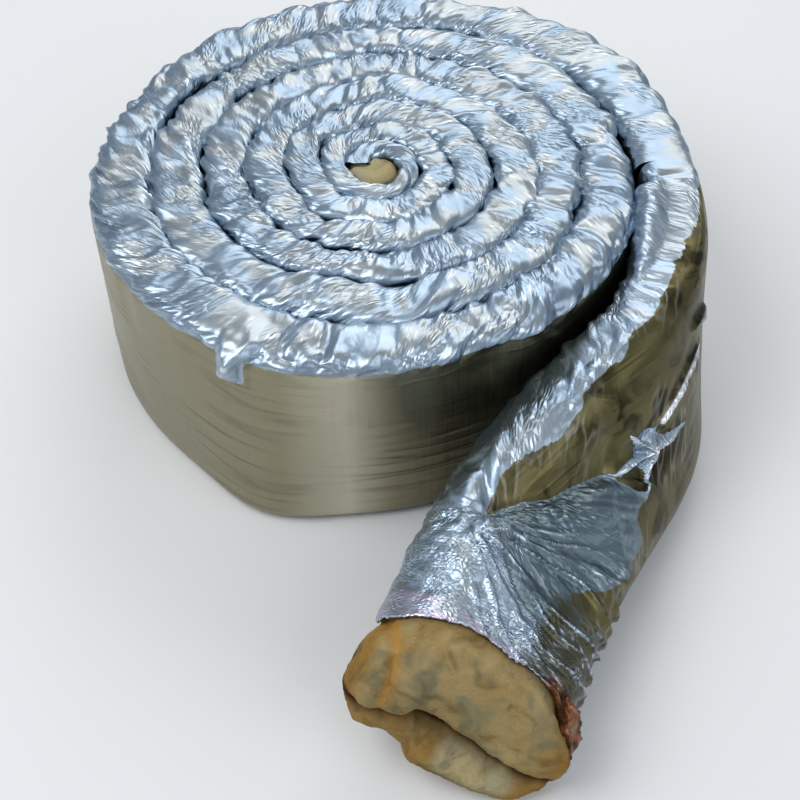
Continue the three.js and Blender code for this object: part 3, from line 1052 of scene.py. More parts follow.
class CrinkledFilm(Rule):
    """The Geometry Nodes tree that crinkles a smooth skin along its normals."""

    def __init__(self):
        super().__init__("crinkled_film", {"Geometry": "NodeSocketGeometry",
                                           "Depth": "NodeSocketFloat",
                                           "Material": "NodeSocketMaterial"})
        along, around = self.stored("along"), self.stored("around")
        fan, cross = self.stored("fan"), self.stored("cross")
        out = crinkle(self, fan, cross, along, around, self.stored("crown"))
        out = out * self.stored("crinkled") * self.given["Depth"]
        normal = self.node("GeometryNodeInputNormal")
        offset = self.node("ShaderNodeVectorMath", {"operation": "SCALE"}, {0: normal, 3: out})
        values = {"Geometry": self.given["Geometry"], "Offset": offset}
        self.end(self.node("GeometryNodeSetPosition", {}, values))


# ---- Crushed film ---------------------------------------------------------------------------


# Film that is tilted this way is painted bluer, a painted sky reflection
PAINTED_SKY = (-0.60, 0.80, 0.0)


def listed(rows, field, width=1, kind=np.int32):
    """One field of all the rows of a mesh, as an array."""
    values = np.empty(len(rows) * width, kind)
    rows.foreach_get(field, values)
    return values.reshape(-1, width) if width > 1 else values


def mesh_points(mesh):
    return listed(mesh.vertices, "co", 3, np.float32).astype(float)


def mesh_normals(mesh):
    return listed(mesh.vertices, "normal", 3, np.float32).astype(float)


def set_points(mesh, points):
    mesh.vertices.foreach_set("co", points.astype(np.float32).ravel())
    mesh.update()


def mesh_quads(mesh):
    sizes = listed(mesh.polygons, "loop_total")
    starts = listed(mesh.polygons, "loop_start")[sizes == 4]
    return listed(mesh.loops, "vertex_index")[starts[:, None] + np.arange(4)]


# The film as cloth, with the names of its vertex groups
CLOTH = {
    "quality": 4,
    "mass": 0.15,
    "tension_stiffness": 30.0,
    "compression_stiffness": 30.0,
    "shear_stiffness": 10.0,
    "air_damping": 2.0,
    "vertex_group_mass": "held",
    "vertex_group_shrink": "bound",
    "use_pressure": True,
    "uniform_pressure_force": 0.5,
}


class CrushedFilm:
    """Loose film that is a little too large for the wool under it, simulated as cloth.

    Only the stretch whose "loose" values are above 0 is simulated, held along its borders. It
    grows by a share of its length, and no point of it moves further than the most."""

    FRAMES = 14

    def __init__(self, mesh, growth, stiffness, most):
        self.mesh = mesh
        self.growth = growth
        self.stiffness = stiffness
        self.most = most

    def run(self):
        """Crumples the mesh."""
        mesh = self.mesh
        loose = listed(mesh.attributes["loose"].data, "value", 1, np.float32).astype(float)
        points = mesh_points(mesh)
        before = mesh_normals(mesh)
        quads = mesh_quads(mesh)
        quads = quads[(loose[quads] > 0.0).any(1)]
        used, numbered = np.unique(quads, return_inverse=True)
        start = points[used]
        moved = self.simulated(start, numbered.reshape(quads.shape), loose[used]) - start
        far = np.linalg.norm(moved, axis=1, keepdims=True)
        moved = moved * np.minimum(1.0, self.most / np.maximum(far, 1e-9))
        points[used] = start + moved
        points[:, 2] = np.maximum(points[:, 2], 0.0)
        set_points(mesh, points)
        self.mark(points, before)

    def simulated(self, points, quads, loose):
        """Where the points of the loose stretch come to lie."""
        scene = bpy.context.scene
        strip = new_mesh("strip", points, quads.tolist())
        piece = bpy.data.objects.new("strip", strip)
        scene.collection.objects.link(piece)
        held = piece.vertex_groups.new(name="held")
        bound = piece.vertex_groups.new(name="bound")
        patches = np.clip(0.35 + 1.7 * wobble(*points.T, 11.0), 0.0, 1.0)
        for index, (share, patch) in enumerate(zip(loose.tolist(), patches.tolist())):
            held.add([index], max(0.0, 1.0 - share * 1.3), "REPLACE")
            bound.add([index], 1.0 - share * patch, "REPLACE")
        modifier = piece.modifiers.new("cloth", "CLOTH")
        film = modifier.settings
        for name, value in CLOTH.items():
            setattr(film, name, value)
        film.bending_stiffness = self.stiffness
        film.effector_weights.gravity = 0.0
        film.shrink_min = -self.growth
        film.shrink_max = 0.0
        modifier.collision_settings.use_collision = False
        modifier.point_cache.frame_start = 1
        modifier.point_cache.frame_end = self.FRAMES
        for frame_number in range(1, self.FRAMES + 1):
            scene.frame_set(frame_number)
        evaluated = piece.evaluated_get(bpy.context.evaluated_depsgraph_get())
        result = mesh_points(evaluated.data)
        bpy.data.objects.remove(piece)
        bpy.data.meshes.remove(strip)
        scene.frame_set(1)
        return result

    def mark(self, points, before):
        """Stores where the film is folded out or in, and how far it is tilted, from which its
        material paints highlights, shade and reflections.
        """
        mesh = self.mesh
        first, second = listed(mesh.edges, "vertices", 2).T
        away = points[second] - points[first]
        distance = np.linalg.norm(away, axis=1)
        count = np.zeros(len(points))
        total = np.zeros_like(points)
        reach = np.zeros(len(points))
        for ends, sign in ((first, 1.0), (second, -1.0)):
            np.add.at(total, ends, sign * away)
            np.add.at(reach, ends, distance)
            np.add.at(count, ends, 1.0)
        normals = mesh_normals(mesh)
        fold = -4.0 * (total * normals).sum(1) / np.maximum(reach, 1e-9)
        values = {"fold": fold, "flat": normals[:, 2], "sky": normals @ np.array(PAINTED_SKY),
                  "tilt": (normals - before) @ np.array(PAINTED_SKY)}
        for name, value in values.items():
            for _ in range(2):
                value = self.spread(value, first, second, count)
            set_values(mesh, name, value)

    @staticmethod
    def spread(values, first, second, count):
        """Values averaged with their neighbours'."""
        total = np.zeros_like(values)
        np.add.at(total, first, values[second])
        np.add.at(total, second, values[first])
        return 0.5 * values + 0.5 * total / np.maximum(count, 1.0)


# ---- The wool -------------------------------------------------------------------------------


# What the wool's meshes hold for their material, each from 0 to 1
WOOL_MARKS = ("crack", "seam", "front", "side", "lower", "clean")


def tufted(points, normals, depth, size):
    """Points moved out and in as matted wool is, in lumps of some size."""
    x, y, z = points.T
    lumps = wobble(x, y, z, 1 / size)
    tufts = wobble(x, y, z, 3.1 / size)
    fibres = wobble(x + 3.0, y, z, 9.0 / size)
    out = depth * (lumps + 0.40 * tufts + 0.16 * fibres)
    return points + normals * out[:, None]


# The wool's front, by the height along the section: how far past the mouth the crack runs, and
# how far the lower lip does
CRACK = ((-0.120, 0.030), (-0.09, 0.044), (-0.07, 0.048), (-0.02, 0.051), (0.025, 0.056),
         (0.044, 0.063), (0.053, 0.076), (0.068, 0.081), (0.09, 0.094), (0.118, 0.098))
LOWER_LIP = ((-0.120, 0.030), (-0.113, 0.040), (-0.094, 0.058), (-0.07, 0.070), (-0.037, 0.082),
             (-0.006, 0.091), (0.021, 0.100), (0.029, 0.098), (0.035, 0.086), (0.06, 0.090),
             (0.082, 0.097), (0.118, 0.100))


class WoolEnd:
    """The wool that sticks out of the mouth: two lips pressed together, with a crack between."""

    INSIDE = 0.075  # how far it runs back into the film
    INSET = 0.0050  # how far it stays clear of the film
    CRACK_BELOW = 0.012  # how far below the section's middle the crack runs
    CRACK_WIDTH = 0.0042
    ROUNDINGS = (0.026, 0.034)  # of the front, towards the upper and the lower edge
    SEAM_AT = 0.1146
    SEAM_WIDTH = 0.007
    SEAM_DEPTH = 0.0045
    TUFT_DEPTH = 0.0042
    TUFT_SIZE = 0.034
    COLUMNS = 160
    # its rings, by the share of the way out to the front, and then in to the crack
    OUTSIDE = (0.0, 0.3, 0.6, 0.85)
    CLOSING = (0.0, 0.05, 0.11, 0.18, 0.27, 0.37, 0.48, 0.59, 0.69, 0.78, 0.85, 0.90, 0.94, 0.97, 1.0)

    def __init__(self, end, wool):
        self.end = end
        self.wool = wool
        self.mouth = {key: value[0] for key, value in end.places(np.array([1.0])).items()}
        self.tall = self.mouth["tall"] + self.wool.swell

    def slit_place(self, up):
        """How far below the middle the crack runs, at a height along the section."""
        ragged = wobble(up * 55.0, 3.0, 0.0, 1.0) * 0.004 + wobble(up * 160.0, 8.0, 0.0, 1.0) * 0.0015
        return ragged - self.CRACK_BELOW

    def front(self, across, up):
        """How far past the mouth the wool's front is at a place of the section."""
        slit = self.slit_place(up)
        half = self.mouth["half"] - self.INSET
        crack = np.interp(up, *np.array(CRACK).T)
        lip = np.interp(up, *np.array(LOWER_LIP).T)
        over = np.clip((across - slit) / (half - slit), 0, 1)
        under = np.clip((slit - across) / (half + slit), 0, 1)
        upper = (crack + 0.005) * (1 - over**2.3) ** (1 / 2.0)
        lower = crack + (lip - crack) * smooth(under, 0.0, 0.5) - 0.030 * smooth(under, 0.7, 1.0) ** 2
        past = np.where(across > slit, upper, lower)
        left = np.clip((self.tall - up) / self.ROUNDINGS[0], 0, 1)
        right = np.clip((self.tall + up) / self.ROUNDINGS[1], 0, 1)
        rounded = np.sqrt(1 - (1 - left) ** 2) * np.sqrt(1 - (1 - right) ** 2)
        past = past * (0.72 + 0.28 * rounded)
        ends = smooth(self.tall - np.abs(up), 0.006, 0.030)
        groove = np.exp(-(((across - slit) / self.CRACK_WIDTH) ** 2)) * ends
        return past - self.wool.crack_depth * groove

    def ring(self, closed):
        """Across and up of an outline of the section, closed in on the crack by a share."""
        v = np.arange(self.COLUMNS) / self.COLUMNS * 2.0
        frame = {"half": self.mouth["half"] - self.INSET, "tall": self.mouth["tall"] - self.INSET,
                 "opened": 1.0}
        across, up = FreeEnd.section(frame, v)
        up = up * (1 - 0.10 * closed**2)
        return across + (self.slit_place(up) - across) * closed, up

    def local_rings(self):
        """The rings of its surface, as across, up and past."""
        across, up = self.ring(0.0)
        rings = [np.stack([across, up, np.full_like(up, past)], -1) for past in (-self.INSIDE, -0.04)]
        outside = np.maximum(self.front(across, self.swollen(up, 1.0)), 0.004)
        for share in self.OUTSIDE:
            rings.append(np.stack([across, self.swollen(up, share), outside * share], -1))
        for closed in self.CLOSING:
            across, up = self.ring(closed)
            up = self.swollen(up, 1.0)
            rings.append(np.stack([across, up, np.maximum(self.front(across, up), 0.004)], -1))
        return np.array(rings)

    def swollen(self, up, share):
        """Outside the film the wool swells a little."""
        return up * (1 + (self.wool.swell + self.INSET) / self.mouth["tall"] * smooth(share, 0.0, 0.6))

    def world(self, local):
        """Places in the model from across, up and past."""
        place = self.mouth
        across, up, past = (local[..., k : k + 1] for k in range(3))
        return (place["middle"] + place["side"] * across + place["edge"] * up
                + place["ahead"] * past)

    def local(self, points):
        """Across, up and past of places in the model."""
        place = self.mouth
        basis = np.stack([place["side"], place["edge"], place["ahead"]], 1)
        return np.linalg.solve(basis, (points - place["middle"]).T).T

    def mesh(self):
        """Its surface, closed along the crack and remade in even cells."""
        rings = self.world(self.local_rings())
        rings[..., 2] = np.maximum(rings[..., 2], 0.0)
        points, quads = tube(rings)
        count = self.COLUMNS
        foot = fan_cap(np.arange(count), len(points), False)
        points = np.concatenate([points, rings[:1].mean(1)])
        # the last ring lies on the crack and closes on itself
        base = (len(rings) - 1) * count
        low = np.arange(1, count // 2 - 1)
        other = count - low
        closing = base + np.stack([low, low + 1, other - 1, other], 1)
        tips = [[base, base + 1, base + count - 1],
                [base + count // 2 - 1, base + count // 2, base + count // 2 + 1]]
        mesh = remeshed("wool_end", points, quads.tolist() + foot + closing.tolist() + tips,
                        self.wool.voxel)
        self.finish(mesh)
        return mesh

    def finish(self, mesh):
        """Tufts the wool, and stores where its material changes."""
        points, normals = mesh_points(mesh), mesh_normals(mesh)
        across, up, past = self.local(points).T
        slit = self.slit_place(up)
        seam_at = self.SEAM_AT - 0.4 * past + wobble(past, 0.0, 7.0, 25.0) * 0.004
        upper = smooth(across - slit, 0.0, 0.02)
        seam = np.exp(-(((up - seam_at) / self.SEAM_WIDTH) ** 2)) * upper
        free = smooth(past, 0.0, 0.012)
        points = tufted(points, normals * free[:, None], self.TUFT_DEPTH, self.TUFT_SIZE)
        points = points - normals * (seam * self.SEAM_DEPTH * free)[:, None]
        points[:, 2] = np.maximum(points[:, 2], 0.0)
        set_points(mesh, points)
        crack_past = np.interp(up, *np.array(CRACK).T)
        inner = smooth(crack_past + 0.004 - past, 0.0, 0.012)
        ragged = 1.0 + 0.5 * wobble(*points.T, 70.0)
        # painted shade in the crack, reaching further down the lower lip
        near = np.exp(-(((across - slit) / np.where(across > slit, 0.007, 0.016 * ragged)) ** 2))
        lip = smooth(0.022 - (across - slit), 0.0, 0.018) * upper
        lumps = smooth(slit - across, 0.004, 0.010) * smooth(across, -0.046, -0.036)
        marks = (
            near * (0.5 + 0.5 * inner) * smooth(past, 0.01, 0.03),
            seam,
            lip * smooth(past, 0.02, 0.04),
            np.maximum(smooth(-up, 0.075, 0.110), smooth(up, 0.100, 0.118)),
            smooth(slit - across, 0.0, 0.008),
            lumps * smooth(0.012 - up, 0.0, 0.02) * smooth(up, -0.09, -0.07),
        )
        for name, values in zip(WOOL_MARKS, marks):
            set_values(mesh, name, values)


def remeshed(name, points, faces, voxel):
    """A closed body's mesh, remade in even cells."""
    body = new_mesh("rough", points, faces)
    rough = bpy.data.objects.new("rough", body)
    bpy.context.scene.collection.objects.link(rough)
    modifier = rough.modifiers.new("cells", "REMESH")
    modifier.mode = "VOXEL"
    modifier.voxel_size = voxel
    modifier.use_smooth_shade = True
    bpy.context.view_layer.update()
    evaluated = rough.evaluated_get(bpy.context.evaluated_depsgraph_get())
    mesh = bpy.data.meshes.new_from_object(evaluated)
    mesh.name = name
    bpy.data.objects.remove(rough)
    bpy.data.meshes.remove(body)
    return mesh


class WoolCore:
    """The wool's inner end, which swells out of the sleeve and fills the eye."""

    TOP = 0.260
    FOOT = 0.004
    COLUMNS = 48
    LEVELS = 40
    LOBE_TURNS = 0.11  # how far into the sleeve it reaches
    LOBE_DROP = 0.006  # how much lower it is there
    TUFT_DEPTH = 0.0022
    TUFT_SIZE = 0.020

    def __init__(self, coil, wool):
        self.coil = coil
        self.wool = wool

    def outline(self):
        """The eye seen from above, and 1 where the outline reaches into the sleeve's open end."""
        coil = self.coil
        growth = (coil.outer_pitch - coil.inner_pitch) / coil.turns
        share = np.arange(self.COLUMNS) / self.COLUMNS
        turn = share - 0.5
        radius = coil.eye + coil.inner_pitch / 2 + coil.inner_pitch * turn + growth * turn**2 / 2
        inside = np.linspace(0.0, self.LOBE_TURNS, 8)
        radius = np.concatenate([radius, coil.eye + coil.inner_pitch * (1 + inside) - 0.003,
                                 coil.eye + coil.inner_pitch * inside[::-1] + 0.003])
        turns = np.concatenate([share, inside, inside[::-1]])
        angle = math.tau * (coil.turns - turns)
        lobe = (np.arange(len(turns)) >= self.COLUMNS) * 1.0
        return radius * np.cos(angle), radius * np.sin(angle), lobe

    def mesh(self):
        x, y, lobe = self.outline()
        centre = np.array([x.mean(), y.mean()])
        rings = []
        for level in range(self.LEVELS + 1):
            lift = level / self.LEVELS
            ends = min(lift, 1 - lift) * self.LEVELS
            draw = 0.62 + 0.38 * math.sqrt(1 - (1 - min(ends / 3, 1)) ** 2)
            rings.append(np.stack([
                centre[0] + (x - centre[0]) * draw + self.coil.axis_x,
                centre[1] + (y - centre[1]) * draw + self.coil.axis_y,
                blend(self.FOOT, self.TOP, lift) - lobe * self.LOBE_DROP * lift,
            ], -1))
        rings = np.array(rings)
        points, quads = tube(rings)
        foot = fan_cap(np.arange(len(x)), len(points), False)
        top = fan_cap(self.LEVELS * len(x) + np.arange(len(x)), len(points) + 1, True)
        points = np.concatenate([points, rings[:1].mean(1), rings[-1:].mean(1)])
        mesh = remeshed("wool_core", points, quads.tolist() + foot + top, self.wool.voxel)
        places, normals = mesh_points(mesh), mesh_normals(mesh)
        set_points(mesh, tufted(places, normals, self.TUFT_DEPTH, self.TUFT_SIZE))
        for name in WOOL_MARKS:
            set_values(mesh, name, np.full(len(places), float(name == "clean")))
        return mesh


# ---- Materials ------------------------------------------------------------------------------


def new_material(name):
    material = bpy.data.materials.new(name)
    material.use_nodes = True
    plan = Plan(material.node_tree)
    shader = material.node_tree.nodes["Principled BSDF"]
    return material, plan, shader


def shaded(colour, share):
    """A colour made darker or lighter."""
    return tuple(c * share for c in colour)


class FilmFinish:
    """The film's material, drawn up from its sheet and from the values that its mesh holds."""

    HELD = (
        "crown", "groove", "fan", "cross", "bearing", "tail", "lined", "hem", "rusty", "smoky",
        "gloom", "ridge", "pleats", "fold", "flat", "sky", "tilt",
    )
    SHINING = 0.73  # the bearing at which the coil shines, in turns

    def __init__(self, finish):
        self.finish = finish
        self.material, self.plan, shader = new_material("crinkled_film")
        plan = self.plan
        self.sheet = plan.node("ShaderNodeUVMap", {"uv_map": "UVMap"})
        self.along = plan.node("ShaderNodeSeparateXYZ", {}, {0: self.sheet})
        self.around = self.along.other(1)
        self.held = {name: plan.attribute(name) for name in self.HELD}
        self.blotch = plan.noise(self.sheet, 9.0, 2.0)
        self.where = plan.noise(self.sheet, 24.0, 1.0)
        self.grain = self.woven()
        self.pulled = self.drawn_tight()
        # the free end's crushed film: more puckers, and a painted highlight across its face
        self.lit_and_puckered = self.held["tail"] * (1.0 - self.held["smoky"]) * (
            (self.held["cross"] * 0.6 + 0.4).clamped()
        )
        crushed, glints = self.crushed()
        flat = plan.mixed(self.held["tail"], self.tan(), self.olive())
        plan.fill(shader, {
            "Metallic": 1.0,
            "Base Color": self.colour(flat, self.gathered(crushed, glints)),
            "Roughness": 0.36 + (self.blotch - 0.5) * 0.16 - glints * 0.10,
            "Normal": self.bump(),
        })

    def woven(self):
        """The threads of the scrim."""
        along, around = self.along, self.around
        scrim = self.plan.noise(self.plan.vector(along * 6.0, around * 320.0, 0.0), 1.0, 2.0)
        weave = self.plan.noise(self.plan.vector(along * 300.0, around * 9.0, 3.0), 1.0, 2.0)
        return (scrim * 0.5 + weave * 0.5).ramp(0.3, 0.7)

    def drawn_tight(self):
        """Tension lines on the stretched film."""
        plan, along, around = self.plan, self.along, self.around
        lines = plan.creases(plan.vector(along * 5.0, around * 60.0, 4.0), 1.0, 7.0, 0.5) ** 2.0
        return lines * plan.noise(plan.vector(along, around, 8.0), 9.0, 1.0).ramp(0.46, 0.60)

    def crushed(self):
        """The crushed film, with painted light: grey and beige where it lies flat (a painted warm
        reflection), blue where it tilts to the sky (a painted sky reflection), lighter towards the
        bearing at which the coil shines (painted shine), bright along its folds (painted highlights),
        and darker in its folded-in creases and down in the grooves (painted shade). Also where it
        glints."""
        plan, finish, held, where = self.plan, self.finish, self.held, self.where
        grainy = plan.noise(self.sheet, 60.0, 3.0)
        # painted shine: lighter towards the bearing at which the coil shines
        front = (0.5 - (held["bearing"] - self.SHINING).size() * 3.0).clamped()
        # tone is partly random, partly painted sky reflection: film tilted to the sky goes darker,
        # bluer
        tone = 0.32 - held["tilt"] * 0.15 + (self.blotch - 0.5) * 0.5 + (grainy - 0.5) * 0.5
        tone = tone + front * 0.6
        stops = [(0.15, finish.shade), (0.5, finish.silver), (0.85, finish.gleam)]
        silver = plan.node("ShaderNodeValToRGB", {"stops": stops}, {0: tone})
        # painted reflection: up-facing facets turned away from the sky go beige, in random patches
        painted_warm_reflection = (self.blotch + (where - 0.5) * 1.2 - held["sky"] * 0.8).ramp(0.46, 0.60)
        painted_warm_reflection = held["flat"].ramp(0.80, 0.97) * painted_warm_reflection
        silver = plan.mixed(painted_warm_reflection * 0.6, silver, finish.beige)
        # painted highlights: sparkling flecks in patches and the convex folds, stronger at the shine
        painted_sparkles = plan.vector(held["fan"] * 340.0, held["cross"] * 60.0, 5.0)
        painted_sparkles = plan.noise(painted_sparkles, 1.0, 1.5).ramp(0.58, 0.68) * where.ramp(0.49, 0.57)
        glints = (held["fold"].ramp(0.40, 0.95) + painted_sparkles * 0.8).clamped()
        silver = plan.mixed(glints * (0.5 + front * 0.5), silver, finish.bright)
        silver = plan.mixed((-held["fold"]).ramp(0.30, 0.95) * 0.75, silver, finish.shadow)
        # painted shade down in the grooves between turns
        return plan.mixed(held["groove"].ramp(0.40, 0.90) * 0.9, silver, finish.dark), glints

    def tan(self):
        """The stretched film on the coil: tan, with a band where it shines (painted shine), painted
        shade on both sides of it, olive beyond for the free end's painted shadow, and tension
        lines painted darker.
        """
        plan, finish = self.plan, self.finish
        # painted light by bearing: painted shade, the shining band, painted shade, painted shadow
        stops = [(0.56, finish.tan_painted_shade), (0.70, finish.tan), (0.735, finish.tan_light),
                 (0.76, finish.tan_painted_shade), (0.79, finish.olive)]
        tan = plan.node("ShaderNodeValToRGB", {"stops": stops}, {0: self.held["bearing"]})
        tan = plan.mixed(self.grain * 0.25, tan, shaded(finish.tan, 1.5))
        # painted shade along the tension lines
        return plan.mixed(self.pulled * 0.45, tan, shaded(finish.tan, 0.5))

    def olive(self):
        """The stretched film on the free end: olive, with dark marks, painted shade beside the
        pinch and pale scratches.
        """
        plan, finish, sheet = self.plan, self.finish, self.sheet
        along, around = self.along, self.around
        marks = plan.noise(sheet, 30.0, 4.0, distortion=0.6).ramp(0.48, 0.60)
        marks = marks * plan.noise(sheet, 7.0, 1.0).ramp(0.38, 0.56)
        # painted shade beside the pinch
        marks = (marks + self.held["gloom"]).clamped()
        slanted = plan.vector(along * 60.0 - around * 50.0, along * 12.0 + around * 14.0, 6.0)
        scratches = plan.creases(slanted, 1.0, 9.0, 0.5).ramp(0.4, 1.0)
        scratches = scratches * plan.noise(sheet, 11.0, 1.0).ramp(0.44, 0.56)
        olive = plan.mixed(self.blotch.ramp(0.3, 0.7), finish.olive, shaded(finish.olive, 1.9))
        olive = plan.mixed(marks * 0.85, olive, shaded(finish.olive, 0.22))
        return plan.mixed(scratches * 0.35, olive, finish.beige)

    def gathered(self, silver, glints):
        """The crushed film of the free end: brighter (painted highlight), teal between the pleats
        (painted shade, with painted glints), and dark crumple with painted glints near the mouth.
        """
        plan, finish, held = self.plan, self.finish, self.held
        # painted shade between the pleat lines, and painted glints on them
        lines = plan.vector(held["fan"] * 120.0, held["cross"] * 7.0, 2.0)
        lines = plan.creases(lines, 1.0, 4.0, 0.5).ramp(0.3, 0.9)
        teal = plan.mixed(lines, shaded(finish.teal, 0.5), finish.teal)
        teal = plan.mixed(glints, teal, finish.gleam)
        # near the mouth the crumpled film stays olive, with painted glints
        olive_with_glints = (glints + (self.where - 0.5) * 0.5).clamped()
        olive_with_glints = plan.mixed(olive_with_glints, finish.olive, finish.gleam)
        # painted highlight on the free end's crushed film
        silver = plan.mixed(self.lit_and_puckered * 0.5, silver, shaded(finish.gleam, 1.1))
        # painted shade: the pleated stretch goes a darker teal
        silver = plan.mixed(held["pleats"] * 0.85, silver, teal)
        return plan.mixed(held["smoky"] * 0.9, silver, olive_with_glints)

    def colour(self, flat, silver):
        """All of it, with a ragged border between the two, the ridge and the star's arms as painted
        highlights, the hem and the rust.
        """
        plan, finish, held = self.plan, self.finish, self.held
        ragged = plan.noise(plan.vector(held["fan"] * 2.0, held["cross"], 5.0), 45.0, 3.0) - 0.5
        border = (held["crown"] + ragged * 1.1).ramp(0.44, 0.56)
        colour = plan.mixed(border, flat, silver)
        # painted highlight on the ridge and the star's arms
        colour = plan.mixed(held["ridge"].ramp(0.35, 0.6), colour, finish.bright)
        pink = plan.vector(self.along * 90.0, self.around * 30.0, 3.0)
        pink = plan.noise(pink, 1.0, 2.0).ramp(0.35, 0.6)
        colour = plan.mixed(held["hem"] * pink * 0.5, colour, finish.lilac)
        rust = plan.noise(self.sheet, 60.0, 3.0)
        copper = plan.mixed(rust.ramp(0.4, 0.6), finish.copper, shaded(finish.copper, 0.15))
        lined, rusty = held["lined"], held["rusty"]
        stained = (rusty * 1.6 + (rust - 0.5) * 2.4 - 0.5).clamped() * (1.0 - lined) * rusty + lined
        return plan.mixed(stained, colour, copper)

    def bump(self):
        """Puckers on the crushed film; threads, seams and tension lines on the stretched film."""
        plan, crown, fan, cross = self.plan, *(self.held[key] for key in ("crown", "fan", "cross"))
        puckers = plan.cells(plan.vectors("MULTIPLY", warped(plan, fan, cross), PUCKERS))
        patchy = plan.noise(plan.vector(fan, cross, 3.1), 14.0, 1.0).ramp(0.46, 0.60)
        crushed = puckers * (patchy + self.lit_and_puckered * 0.8 + 0.25) * 0.0010
        lines = (self.along * 90.0).wave().ramp(0.9, 1.0) + (self.around * 90.0).wave().ramp(0.9, 1.0)
        stretched = self.grain * 0.00010 + lines * 0.00006 + self.pulled * 0.0008
        height = crushed * crown + stretched * (1.0 - crown)
        bump = {"Strength": 1.0, "Distance": 1.0, "Height": height}
        return plan.node("ShaderNodeBump", {}, bump)


def film_material(finish):
    return FilmFinish(finish).material


def wool_material(finish):
    material, plan, shader = new_material("matted_wool")
    place = plan.node("ShaderNodeTexCoord", {}, {}, output="Object")
    crack, seam, front, side, lower, clean = (plan.attribute(name) for name in WOOL_MARKS)
    patches = plan.noise(place, 24.0, 3.0)
    mottle = plan.noise(place, 70.0, 4.0)
    fibres = plan.noise(place, 420.0, 4.0, distortion=1.2)
    soaked = (patches.ramp(0.45, 0.65) * 0.4 + front * 0.6 + side * 0.85 + lower * 0.6
              - clean * 0.9 + (mottle - 0.5) * 0.9).clamped()
    colour = plan.mixed(soaked, finish.cream, finish.amber)
    dusty = plan.noise(place, 27.0, 3.0, distortion=0.6).ramp(0.50, 0.62)
    dusty = dusty * (1.0 - side) * (1.0 - lower * 0.5)
    colour = plan.mixed(dusty * 0.7, colour, finish.dusty)
    brown = plan.noise(place, 36.0, 4.0, distortion=0.8).ramp(0.50, 0.64)
    colour = plan.mixed(brown * 0.6, colour, finish.brown)
    colour = plan.mixed(clean * (0.75 - brown * 0.4), colour, finish.pale)
    light = plan.noise(place, 23.0, 2.0, distortion=0.5).ramp(0.54, 0.68) * (1.0 - soaked * 0.7)
    colour = plan.mixed(light * 0.6, colour, shaded(finish.cream, 1.35))
    colour = plan.mixed(seam * 0.8, colour, finish.orange)
    colour = plan.mixed(fibres.ramp(0.35, 0.7) * 0.28, colour, shaded(finish.cream, 0.45))
    veins = plan.creases(place, 46.0, 20.0, 4.0) * plan.noise(place, 15.0, 1.0).ramp(0.50, 0.6)
    colour = plan.mixed(veins * 0.30, colour, shaded(finish.amber, 0.35))
    # painted shade in the crack
    colour = plan.mixed(crack.ramp(0.15, 0.75), colour, finish.crack)
    plan.fill(shader, {"Base Color": colour, "Roughness": 0.95, "Specular IOR Level": 0.15})
    height = fibres * 0.7 + mottle * 0.5
    bump = {"Strength": 0.6, "Distance": 0.0025, "Height": height}
    plan.fill(shader, {"Normal": plan.node("ShaderNodeBump", {}, bump)})
    return material


# ---- Operators ------------------------------------------------------------------------------


def declared(piece, node):
    """Fixes a finished piece to the body and hides the node it stands for."""
    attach(piece, BODY)
    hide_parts(node)


def linked(mesh, material):
    piece = bpy.data.objects.new(mesh.name, mesh)
    bpy.context.scene.collection.objects.link(piece)
    mesh.materials.clear()
    mesh.materials.append(material)
    return piece


def shared_material(name, make, finish):
    return bpy.data.materials.get(name) or make(finish)


# Stretches of the wound film: name, turns, how the steps crowd towards the outside, steps along
# and round, and the shares of the steps on the upper crown, the outside and the foot
STRETCHES = (
    ("film_outer_turn", 5.45, 6.5, 1.0, 680, 112, 0.34, 0.47, 0.16),
    ("film_middle_turns", 3.4, 5.45, 0.85, 1050, 54, 0.62, 0.05, 0.27),
    ("film_inner_turns", 0.0, 3.4, 0.62, 760, 46, 0.62, 0.05, 0.27),
)


class ROLL_OT_wound_film(bpy.types.Operator):
    """Winds the film into the coil"""

    bl_idname = "roll.wound_film"
    bl_label = "Wound Film"

    def execute(self, context):
        sizes = context.scene.roll_coil
        rule = WoundFilm()
        material = shared_material("crinkled_film", film_material, context.scene.roll_finish)
        for name, start, end, spread, steps, around, crown, outside, foot in STRETCHES:
            values = {
                "From Turn": start,
                "To Turn": end,
                "Spread": spread,
                "Steps Along": steps,
                "Steps Round": around,
                "Crown Share": crown,
                "Outside Share": outside,
                "Foot Share": foot,
                "Turns": sizes.turns,
                "Eye": sizes.eye,
                "Inner Pitch": sizes.inner_pitch,
                "Outer Pitch": sizes.outer_pitch,
                "Slip": sizes.slip,
                "Height": sizes.height,
                "Axis X": sizes.axis_x,
                "Axis Y": sizes.axis_y,
                "Material": material,
            }
            piece = rule.made(name, values)
            CrushedFilm(piece.data, growth=0.02, stiffness=0.6, most=0.018).run()
            declared(piece, "film_jacket")
        return {"FINISHED"}


class ROLL_OT_free_end_film(bpy.types.Operator):
    """Lays out the film of the free end, with its folds, its hem and its open mouth"""

    bl_idname = "roll.free_end_film"
    bl_label = "Free End Film"

    def execute(self, context):
        scene = context.scene
        material = shared_material("crinkled_film", film_material, scene.roll_finish)
        end = FreeEnd(scene.roll_coil, scene.roll_free_end)
        mesh = FreeEndFilm(end).mesh()
        mesh.materials.append(material)
        rule = CrinkledFilm()
        values = {"Depth": 0.8, "Material": material}
        piece = rule.made("film_free_end", values, mesh)
        CrushedFilm(piece.data, growth=0.03, stiffness=0.4, most=0.012).run()
        declared(piece, "film_jacket")
        return {"FINISHED"}


